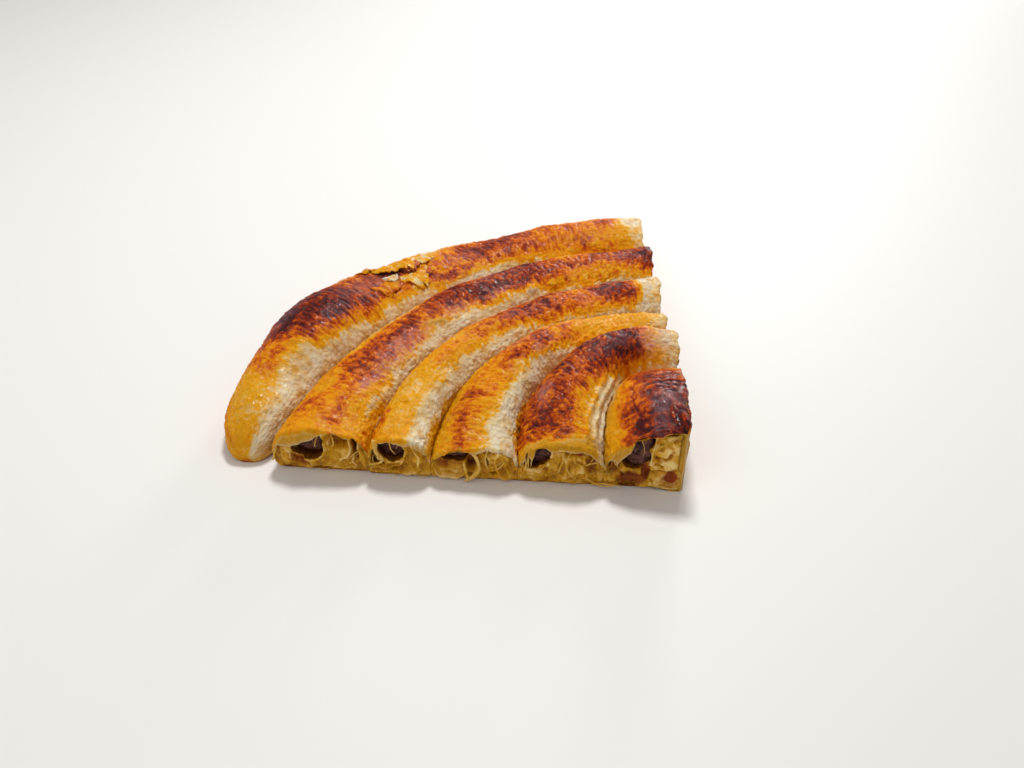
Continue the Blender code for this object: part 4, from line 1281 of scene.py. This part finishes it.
def face_relief(roll, cut, r, z, inwards, seed, inside):
    """The forms of the dough on a cut at radii, heights and distances in from the crust: soft folds, layer
    edges and fine wrinkles, which are noise of the place, then crumb hollows, dents and creases. Returns
    how far it stands proud, how far it is sunk, and how pale and how toasted it is; the paleness is
    partly painted light and shade, paler where the dough stands out and darker where it is sunk."""
    warp = 1.6 * noise(r / 6.0, z / 6.0, seed + 1.0)
    folds = cloud((r + warp) / 6.5, (z - warp) / 5.5, seed + 2.0, 2)
    step = np.mod(inwards / inside.layer + 0.9 * noise(r / 7.0, z / 7.0, seed + 4.0), 1.0)
    edges = smooth(0.0, 0.25, step) * (1.0 - smooth(0.35, 1.0, step))
    edges = edges * (0.15 + 0.65 * smooth(-0.1, 0.6, noise(r / 9.0, z / 9.0, seed + 5.0)))
    lines = (1.0 - np.abs(noise((r + warp) / 1.5, z / 4.6, seed + 6.0))) ** 3
    proud = inside.fold * folds + inside.edge * edges + 0.22 * lines
    # Paler on the folds that stand out and on the layer edges: partly the dry edges, partly painted light.
    pale = 0.44 + 0.16 * folds + 0.22 * edges + 0.16 * (lines - 0.4)
    sinking, toast = np.zeros_like(pale), np.zeros_like(pale)
    x, y = r + 0.35 * warp, z + 0.5 * noise(r / 2.5, z / 2.5, seed + 9.0)
    if cut or roll == 0:
        crumb = 1.0 if cut else 0.6
        here = 1.0 if cut else 1.0 - smooth(11.0, 15.0, r)
        hollow = here * smooth(0.10, 0.70, cloud(x / (6.5 * crumb), y / (5.0 * crumb), seed + 20.0, 2))
        sinking, toast = 2.6 * crumb * hollow, 0.30 * hollow
        # The crumb hollows are made darker: painted shade.
        pale = pale + 0.06 * here - 0.30 * hollow
    if cut == 0:
        # The sunk dents are made darker and the swellings paler: painted shade and painted light.
        for dent_r, dent_z, wide, high, lean, sunk, light, red in DENTS[roll]:
            cos, sin = math.cos(math.radians(lean)), math.sin(math.radians(lean))
            over = (x - dent_r) * cos + (y - dent_z) * sin
            up = (y - dent_z) * cos - (x - dent_r) * sin
            hill = 1.0 - smooth(0.65, 1.25, np.hypot(over / wide, up / high))
            sinking, pale, toast = sinking + sunk * hill, pale + light * hill, toast + red * hill
        for half, rise, light, *corners in CREASES[roll]:
            hill = np.exp(-((crease_distance(x, y, corners) / half) ** 2))
            proud, pale = proud + rise * hill, pale + light * hill
    return proud, sinking, pale, toast


def face_back(roll, cut, face_depth):
    """Radii, heights and depths of the dough behind the crust: the outline there, drawn in."""
    depth = SHOULDER + (face_depth - SHOULDER) * np.linspace(1.0, 0.0, FACE_BACK_ROWS)
    inset = BACK_INSETS[min(roll, 1)]
    loops = [end_loop(roll, share, *inset) for share in np.abs(cut - depth / roll_length(roll))]
    radius, height = (np.array(each) for each in zip(*loops))
    return radius, height, depth[:, None] + 0.0 * radius


def face_wall(roll, cut, middle, rim, angle, depth, face_depth, seed):
    """Radii, heights and depths of an opening's wall from its rim inwards: it flares by half a sine wave and
    noise, and stays under the roof and inside the outer wall."""
    deep = np.linspace(0.0, 1.0, FACE_WALL_ROWS + 1)[1:, None]
    flare = 1.0 + 0.16 * np.sin(deep * math.pi) + 0.07 * noise(angle * 2.0, deep * 5.0, seed)
    flare = flare - 0.16 * (roll == 0) * deep
    radius, height = (centre + (near - centre) * flare for centre, near in zip(middle, rim))
    if roll == 0:
        radius = np.minimum(radius, sides(roll, np.abs(cut - 0.5 * deep))[1] - 2.4)
    height = np.maximum(height, 1.2)
    for share in (float(cut), abs(cut - 0.06)):
        height = under_roof(roll, share, radius, height, OPENING_ROOFS[min(roll, 1)])
    return radius, height, depth + (face_depth - depth) * deep


def face_points(roll, cut, cavity, inside):
    """The wrinkled dough that fills a cut between the crust and its opening: a ring that runs out from behind
    the crust, swells over the crust's drawn-back walls, runs over the cut face to the opening's torn rim and
    back along the opening's wall. Returns its rows, and how pale and how toasted each point is."""
    middle = cavity[:2]
    loop_r, loop_z = end_loop(roll, cut, -0.25, FACE_INSETS[min(roll, 1)])
    angle = np.arctan2(loop_z - middle[1], loop_r - middle[0])
    seed = roll * 13.0 + cut * 5.0
    circle = np.array([np.cos(angle), np.sin(angle)])
    frayed = 0.05 * noise(*circle * 1.6, seed) + 0.06 * noise(*circle * 4.0, seed + 3.0)
    away = opening_rim(roll, cut, cavity, angle) * (1.0 + (2.4 if cut else 1.0) * frayed)
    near_r, near_z = middle[0] + away * circle[0], middle[1] + away * circle[1]
    near_z = under_roof(roll, float(cut), near_r, near_z, 1.7)
    s = np.linspace(0.0, 1.0, FACE_ROWS)[:, None]
    r, z = loop_r + (near_r - loop_r) * s, loop_z + (near_z - loop_z) * s
    inwards = s * np.hypot(near_r - loop_r, near_z - loop_z)
    proud, sinking, pale, toast = face_relief(roll, cut, r, z, inwards, seed, inside)
    torn = np.clip(0.35 + 1.3 * noise(*circle * 1.9, seed + 14.0), 0.0, 1.0)
    proud = proud + 0.8 * torn * smooth(0.85, 0.99, s) * (0.6 + noise(r / 2.5, z / 2.5, seed + 8.0))
    proud = proud + 0.8 * np.clip(toast, 0.0, 1.0) * cloud(r / 1.4, z / 1.4, seed + 11.0, 2)
    floor = 1.0 - smooth(0.5, 1.3, z + 0.35 * noise(r / 2.2, 0.0, seed + 12.0))
    depth = 1.3 - proud * smooth(0.0, 0.10, s) * (1.0 - 0.5 * floor) + sinking * smooth(0.0, 0.04, s)
    depth = np.maximum(depth, -0.9)
    back = face_back(roll, cut, inside.face_depth)
    wall = face_wall(roll, cut, middle, (near_r, near_z), angle, depth[-1], inside.face_depth, seed)
    radius, height, depths = (np.concatenate(each) for each in zip(back, (r, z, depth), wall))
    turn_in = np.minimum(depths / np.maximum(radius, LEAST_TURN_RADIUS), 0.40 * OPENING)
    lifted = np.clip(noise(radius / 5.0, 0.0, seed + 15.0) + 0.1, 0.0, 1.0) * smooth(3.0, 1.5, depths)
    base = bearing(roll, float(cut))
    height = np.maximum(height, 0.3 + 1.1 * lifted)
    points = place(radius, height, base - turn_in if cut else base + turn_in)
    tones = np.zeros(points.shape)
    front = slice(FACE_BACK_ROWS, FACE_BACK_ROWS + FACE_ROWS)
    tones[:FACE_BACK_ROWS, :, 0] = 0.3
    tones[front, :, 0] = pale - 0.35 * floor + (0.5 * torn - 0.12) * smooth(0.88, 0.99, s)
    tones[front, :, 1] = toast + 0.50 * floor
    # Painted shade: the opening's wall is made darker the deeper it runs in.
    tones[front.stop :, :, 0] = 0.3 - 0.5 * np.linspace(0.0, 1.0, FACE_WALL_ROWS + 1)[1:, None]
    tones[front.stop :, :, 1] = 0.2
    return points, np.clip(tones, 0.0, 1.0)


class BUREK_OT_dough(bpy.types.Operator):
    """Makes the wrinkled dough faces round the cavities of the cuts"""

    bl_idname = "burek.dough"
    bl_label = "Dough at the cuts"

    def execute(self, context):
        inside = context.scene.burek_inside
        material = dough_material(inside)
        for roll, cut, *cavity in CAVITIES:
            rows, tones = face_points(roll, cut, cavity, inside)
            quads = flat_faces(*rows.shape[:2], True)
            name = f"dough_{CUT_NAMES[cut]}_{ROLLS - roll}"
            make_piece(name, rows.reshape(-1, 3), quads, [], material, tones)
        return {"FINISHED"}


def hanging_strands(roll, cut, middle_r, count, random):
    """Random strands that hang from the roof of a cut: start, bend and end, each as radius, height and how
    far in front of the cut, then the widths at the start and at the end."""
    loop_r, loop_z = end_loop(roll, cut, 0.8, 1.8)
    pick = random.integers(0, FACE_COLUMNS // 2, count)
    roof_r, roof_z = loop_r[pick], loop_z[pick]
    fall, drift = random.uniform(3.0, 9.0, count), random.normal(0.0, 2.2, count)
    start = np.stack([roof_r, roof_z, random.uniform(-1.8, -0.6, count)], axis=-1)
    end_r = roof_r + (middle_r - roof_r) * random.uniform(0.1, 0.5, count) + drift
    end_z = np.maximum(roof_z - fall, 0.6)
    end = np.stack([end_r, end_z, random.uniform(-2.0, 0.6, count)], axis=-1)
    bend = (start + end) / 2 + random.normal(0.0, 1.4, (count, 3))
    bend[:, 1] = np.minimum(bend[:, 1], start[:, 1] - 0.6)
    bend[:, 2] = random.uniform(-0.5, 1.5, count)
    wide = random.uniform(0.3, 1.0, count) ** 2
    return start, bend, end, wide, wide * random.uniform(0.2, 0.7, count)


def standing_strands(roll, cut, count, random):
    """Random strands that stand up from the floor of a cut, in the same form."""
    loop_r, loop_z = end_loop(roll, cut, 0.8, 1.8)
    pick = random.integers(FACE_COLUMNS // 2, FACE_COLUMNS, count)
    start = np.stack([loop_r[pick], np.maximum(loop_z[pick], 0.8), np.full(count, -0.8)], axis=-1)
    sway, climb = random.normal(0.0, 3.0, count), random.uniform(-0.3, 3.0, count)
    end = start + np.stack([sway, climb, random.uniform(0.2, 1.6, count)], axis=-1)
    bend = (start + end) / 2 + random.normal(0.0, 0.9, (count, 3))
    wide = random.uniform(0.25, 0.7, count)
    return start, bend, end, wide, 0.3 * wide


def named_shreds(roll, cut):
    """The named shreds of a cut, in the same form."""
    rows = np.array([row[2:] for row in SHREDS if row[:2] == (roll, cut)]).reshape(-1, 8)
    places = [np.insert(rows[:, at : at + 2], 2, out, axis=1) for at, out in ((0, -1.0), (2, 1.6), (4, 1.2))]
    return *places, rows[:, 6], rows[:, 7]


def strand_points(roll, cut, start, bend, end, wide, narrow):
    """Torn strands, all at once: each follows a curve through three places and is a flattened oval in
    section, which tapers, wobbles and twists."""
    start, bend, end = start[:, None], bend[:, None], end[:, None]
    t = np.linspace(0.0, 1.0, STRAND_ROWS)[None, :, None]
    line = (1 - t) ** 2 * start + 2 * t * (1 - t) * bend + t**2 * end
    pace = 2 * (1 - t) * (bend - start) + 2 * t * (end - bend)
    wide, narrow, t = wide[:, None], narrow[:, None], t[..., 0]
    number, seed = np.arange(len(start))[:, None], roll * 3.0 + cut
    for axis in range(3):
        sway = noise(t * 3.0, number * 1.7 + seed, axis * 9.0) * (0.15 + 0.5 * wide)
        line[..., axis] += 0.5 * sway * np.sin(t * math.pi)
    pace /= np.maximum(np.linalg.norm(pace, axis=-1, keepdims=True), 1e-9)
    flat = np.cross(pace, np.array([0.0, 0.0, 1.0]))
    flat /= np.maximum(np.linalg.norm(flat, axis=-1, keepdims=True), 1e-9)
    up = np.cross(flat, pace)
    twist = 1.4 * noise(t * 1.6, number * 2.3 + seed, 5.0)[..., None]
    broad = flat * np.cos(twist) + up * np.sin(twist)
    thin = up * np.cos(twist) - flat * np.sin(twist)
    half = (wide + (narrow - wide) * t) / 2 * np.sqrt(np.clip(1.02 - t**6, 0.0, 1.0))
    half = half * (1.0 + 0.35 * noise(t * 5.0, number * 3.1 + seed, 1.0))
    thick = np.minimum(0.28, 0.75 * half)
    ring = np.linspace(0.0, 2 * math.pi, STRAND_COLUMNS, endpoint=False)[:, None]
    points = line[:, :, None] + broad[:, :, None] * half[..., None, None] * np.cos(ring)
    points = points + thin[:, :, None] * thick[..., None, None] * np.sin(ring)
    advance = points[..., 2] if cut else -points[..., 2]
    return place(points[..., 0], np.maximum(points[..., 1], 0.15), bearing(roll, float(cut)), advance)


def make_strands(name, strands, material):
    """One piece from many strands, each closed at both ends."""
    number, rows, count = strands.shape[:3]
    offsets = (np.arange(number) * rows * count)[:, None, None]
    quads = (flat_faces(rows, count, False)[None] + offsets).reshape(-1, 4)
    ring = np.arange(count)
    total = number * rows * count
    fans = []
    for end, edge in enumerate((ring[::-1], (rows - 1) * count + ring)):
        triangles = fan(0, edge)[None] + offsets
        triangles[:, :, 0] = total + end * number + np.arange(number)[:, None]
        fans.append(triangles.reshape(-1, 3))
    points = np.concatenate([strands.reshape(-1, 3), strands[:, 0].mean(axis=1), strands[:, -1].mean(axis=1)])
    tones = np.tile((STRAND_TONE, 0.0, 0.0), (len(points), 1))
    return make_piece(name, points, quads, fans, material, tones)


class BUREK_OT_strands(bpy.types.Operator):
    """Makes the torn strands that hang and cross in front of the cuts"""

    bl_idname = "burek.strands"
    bl_label = "Torn strands"

    def execute(self, context):
        count = context.scene.burek_inside.strands
        material = bpy.data.materials["stretched_dough"]
        random = np.random.default_rng(STRAND_SEED)
        for roll, cut, middle_r, *_ in CAVITIES:
            kinds = (
                hanging_strands(roll, cut, middle_r, count, random),
                standing_strands(roll, cut, count // 2, random),
                named_shreds(roll, cut),
            )
            strands = strand_points(roll, cut, *(np.concatenate(each) for each in zip(*kinds)))
            make_strands(f"strands_{CUT_NAMES[cut]}_{ROLLS - roll}", strands, material)
        return {"FINISHED"}


def flake_points(middle, length, inner, width, lift):
    """A lifted flake of crust: a thin plate over the outermost arch, whose inner edge is buried and whose
    outer edge curls up, with a torn outline and wrinkles. Grid: along the roll by out and back across."""
    t = np.linspace(-1.0, 1.0, FLAKE_ROWS)[:, None]
    s = np.linspace(0.0, 1.0, FLAKE_COLUMNS)[None, :]
    centre = math.radians(middle)
    half = length / (inner + width / 2) / 2
    tear = 1.0 + 0.34 * cloud(t * 2.2 + middle, 0.0, 3.0) + 0.16 * noise(t * 8.0 + middle, 0.0, 1.0)
    round_off = np.sqrt(np.clip(1.0 - np.abs(t) ** 2.2, 0.02, 1.0))
    radius = inner + s * width * tear * round_off
    angle = centre + t * half * (1.0 + 0.12 * noise(s * 4.0, middle, 2.0))
    turn = np.linspace(0.0, math.pi, ROOF_STEPS)[None, :]
    arches = arch(OUTERMOST, (centre + t * half) / OPENING, turn)
    ground = np.array([np.interp(row, x[::-1], y[::-1]) for row, x, y in zip(radius, *arches)])
    curl = lift * (1.0 - 0.7 * t**2) * (0.8 + 0.3 * noise(t * 3.0, middle, 7.0))
    wave = 0.5 * noise(t * 4.0 + middle, s * 3.0, 1.0) + 0.2 * noise(t * 9.0 + middle, s * 7.0, 2.0)
    height = ground - 1.2 + (curl + 1.2) * (1.7 * s**0.8 - 0.8 * s**2) + wave * smooth(0.1, 0.5, s)
    over = place(radius, height + FLAKE_THICKNESS / 2, angle)
    under = place(radius, height - FLAKE_THICKNESS / 2, angle)
    return np.concatenate([over, under[:, ::-1]], axis=1)


class BUREK_OT_flakes(bpy.types.Operator):
    """Makes the lifted flakes of crust on the outermost roll"""

    bl_idname = "burek.flakes"
    bl_label = "Lifted flakes"

    def execute(self, context):
        material = bpy.data.materials["baked_crust"]
        for number, (*form, brown, butter, mauve_skin_and_sheen) in enumerate(FLAKES):
            points, quads, fans = capped(flake_points(*form))
            x, y = points[:, 0] * FLAKE_PATCHES, points[:, 1] * FLAKE_PATCHES
            shade = np.clip(brown + 0.20 * cloud(x, y, number * 3.0), 0.0, 1.0)
            tones = np.stack(np.broadcast_arrays(shade, butter, mauve_skin_and_sheen), axis=-1)
            make_piece(f"flake_{number + 1}", points, quads, fans, material, tones)
        return {"FINISHED"}


def meat_points(roll):
    """The core of meat: the bore's outline drawn in, lumpy all along, narrowing to the cavity's oval near
    each cut and closed there by a rough dome. Rows are stations along the roll."""
    length = roll_length(roll)
    first = BLIND_END / length + 0.01 if roll == OUTERMOST else MEAT_SET_BACK / length
    last = 1.0 - MEAT_SET_BACK / length
    share = np.linspace(first, last, max(int(length / MEAT_ROW_STEP), 24))
    radius, height = (each[:, ::3] for each in bore_outline(roll, share, 0.35))
    turn = np.linspace(0.0, 2 * math.pi, radius.shape[1], endpoint=False)[None, :]
    for where, cut, mid_r, mid_z, half_r, half_z in CAVITIES:
        if where == roll:
            pull = 1.0 - smooth(4.0, 13.0, np.abs(share - cut)[:, None] * length)
            radius = radius + (mid_r + half_r * np.cos(turn) - radius) * pull
            height = height + (mid_z + half_z * np.sin(turn) - height) * pull
            height = height + (under_roof(roll, float(cut), radius, height, 3.0) - height) * pull
    centre_r, centre_z = (each.mean(axis=1, keepdims=True) for each in (radius, height))
    size = np.hypot(radius - centre_r, height - centre_z)
    lumps = 0.35 * cloud(share[:, None] * length / 2.4, turn * 2.4, roll * 3.0, 2) - 0.3
    scale = 1.0 + lumps / np.maximum(size, 1.0)
    radius = centre_r + (radius - centre_r) * scale
    height = centre_z + (height - centre_z) * scale
    body = place(radius, height, bearing(roll, share)[:, None])
    t = np.linspace(0.0, 1.0, MEAT_DOME_ROWS + 1)[1:, None]
    shrink = np.cos(t * math.pi / 2)
    caps = []
    for cut in (0, 1):
        ring_r, ring_z = radius[-cut], height[-cut]
        out = np.sin(t * math.pi / 2) + 0.5 * cloud(turn * 2.0 * shrink + 3.0, t * 5.0, roll + cut * 4.0, 2)
        cap = place(
            ring_r.mean() + (ring_r - ring_r.mean()) * shrink,
            ring_z.mean() + (ring_z - ring_z.mean()) * shrink,
            bearing(roll, share[-cut]),
            out if cut else -out,
        )
        caps.append(cap if cut else cap[::-1])
    return np.concatenate([caps[0], body, caps[1]])


class BUREK_OT_meat(bpy.types.Operator):
    """Makes the core of minced meat in each roll"""

    bl_idname = "burek.meat"
    bl_label = "Minced meat"

    def execute(self, context):
        material = meat_material(context.scene.burek_inside)
        for roll in range(ROLLS):
            points, quads, fans = capped(meat_points(roll))
            item = make_piece(f"meat_{ROLLS - roll}", points, quads, fans, material)
            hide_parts(f"filling_{ROLLS - roll}")
        return {"FINISHED"}


def area_light(name, spot, size, watts):
    """A square light that points at the origin."""
    light = bpy.data.lights.new(name, "AREA")
    light.size = size
    light.energy = watts
    lamp = bpy.data.objects.new(name, light)
    lamp.location = spot
    lamp.rotation_euler = (-Vector(spot)).to_track_quat("-Z", "Y").to_euler()
    bpy.context.scene.collection.objects.link(lamp)


class BUREK_OT_stage(bpy.types.Operator):
    """Sets up the floor, the lights and the camera"""

    bl_idname = "burek.stage"
    bl_label = "Stage"

    def execute(self, context):
        scene = context.scene
        stage = scene.burek_stage
        bpy.ops.mesh.primitive_plane_add(size=6.0)
        floor = context.object
        floor.name = "floor"
        material, _, shader = new_material("pale_floor")
        shader.inputs["Base Color"].default_value = (*stage.floor, 1.0)
        shader.inputs["Roughness"].default_value = 0.55
        floor.data.materials.append(material)
        world = bpy.data.worlds.new("studio")
        world.use_nodes = True
        background = world.node_tree.nodes["Background"].inputs
        background["Color"].default_value = (1.0, 0.98, 0.95, 1.0)
        background["Strength"].default_value = stage.sky
        scene.world = world
        for name, spot, size in LIGHTS:
            area_light(name, spot, size, getattr(stage, name))
        camera = bpy.data.cameras.new("camera")
        camera.lens = stage.lens
        camera.sensor_width = 36.0
        camera.clip_start = 0.01
        forward = Vector(stage.aim).normalized()
        right = forward.cross(Vector((0.0, 0.0, 1.0))).normalized()
        axes = Matrix((right, right.cross(forward), -forward)).transposed().to_4x4()
        viewer = bpy.data.objects.new("camera", camera)
        viewer.matrix_world = Matrix.Translation(stage.eye) @ axes
        scene.collection.objects.link(viewer)
        scene.camera = viewer
        scene.view_settings.view_transform = "Standard"
        return {"FINISHED"}


class BUREK_PT_panel(bpy.types.Panel):
    """Lists the burek's pieces and their sizes"""

    bl_idname = "BUREK_PT_panel"
    bl_label = "Meat burek"
    bl_space_type = "VIEW_3D"
    bl_region_type = "UI"
    bl_category = "Burek"

    def draw(self, context):
        layout = self.layout
        for settings in (context.scene.burek_crust, context.scene.burek_inside, context.scene.burek_stage):
            box = layout.box()
            for name in settings.__annotations__:
                box.prop(settings, name)
        for operator in OPERATORS:
            layout.operator(operator.bl_idname)


OPERATORS = (
    BUREK_OT_crusts,
    BUREK_OT_flakes,
    BUREK_OT_dough,
    BUREK_OT_strands,
    BUREK_OT_meat,
    BUREK_OT_stage,
)
SETTINGS = (
    ("burek_crust", BurekCrustSettings),
    ("burek_inside", BurekInsideSettings),
    ("burek_stage", BurekStageSettings),
)


def register():
    """Registers the settings, the operators and the panel."""
    for name, settings in SETTINGS:
        bpy.utils.register_class(settings)
        setattr(bpy.types.Scene, name, PointerProperty(type=settings))
    for operator in OPERATORS:
        bpy.utils.register_class(operator)
    bpy.utils.register_class(BUREK_PT_panel)


def unregister():
    """Removes what register added."""
    bpy.utils.unregister_class(BUREK_PT_panel)
    for operator in reversed(OPERATORS):
        bpy.utils.unregister_class(operator)
    for name, settings in reversed(SETTINGS):
        delattr(bpy.types.Scene, name)
        bpy.utils.unregister_class(settings)


def main():
    """Makes every piece and the stage."""
    register()
    bpy.ops.burek.crusts()
    bpy.ops.burek.flakes()
    bpy.ops.burek.dough()
    bpy.ops.burek.strands()
    bpy.ops.burek.meat()
    bpy.ops.burek.stage()


if __name__ == "__main__":
    main()
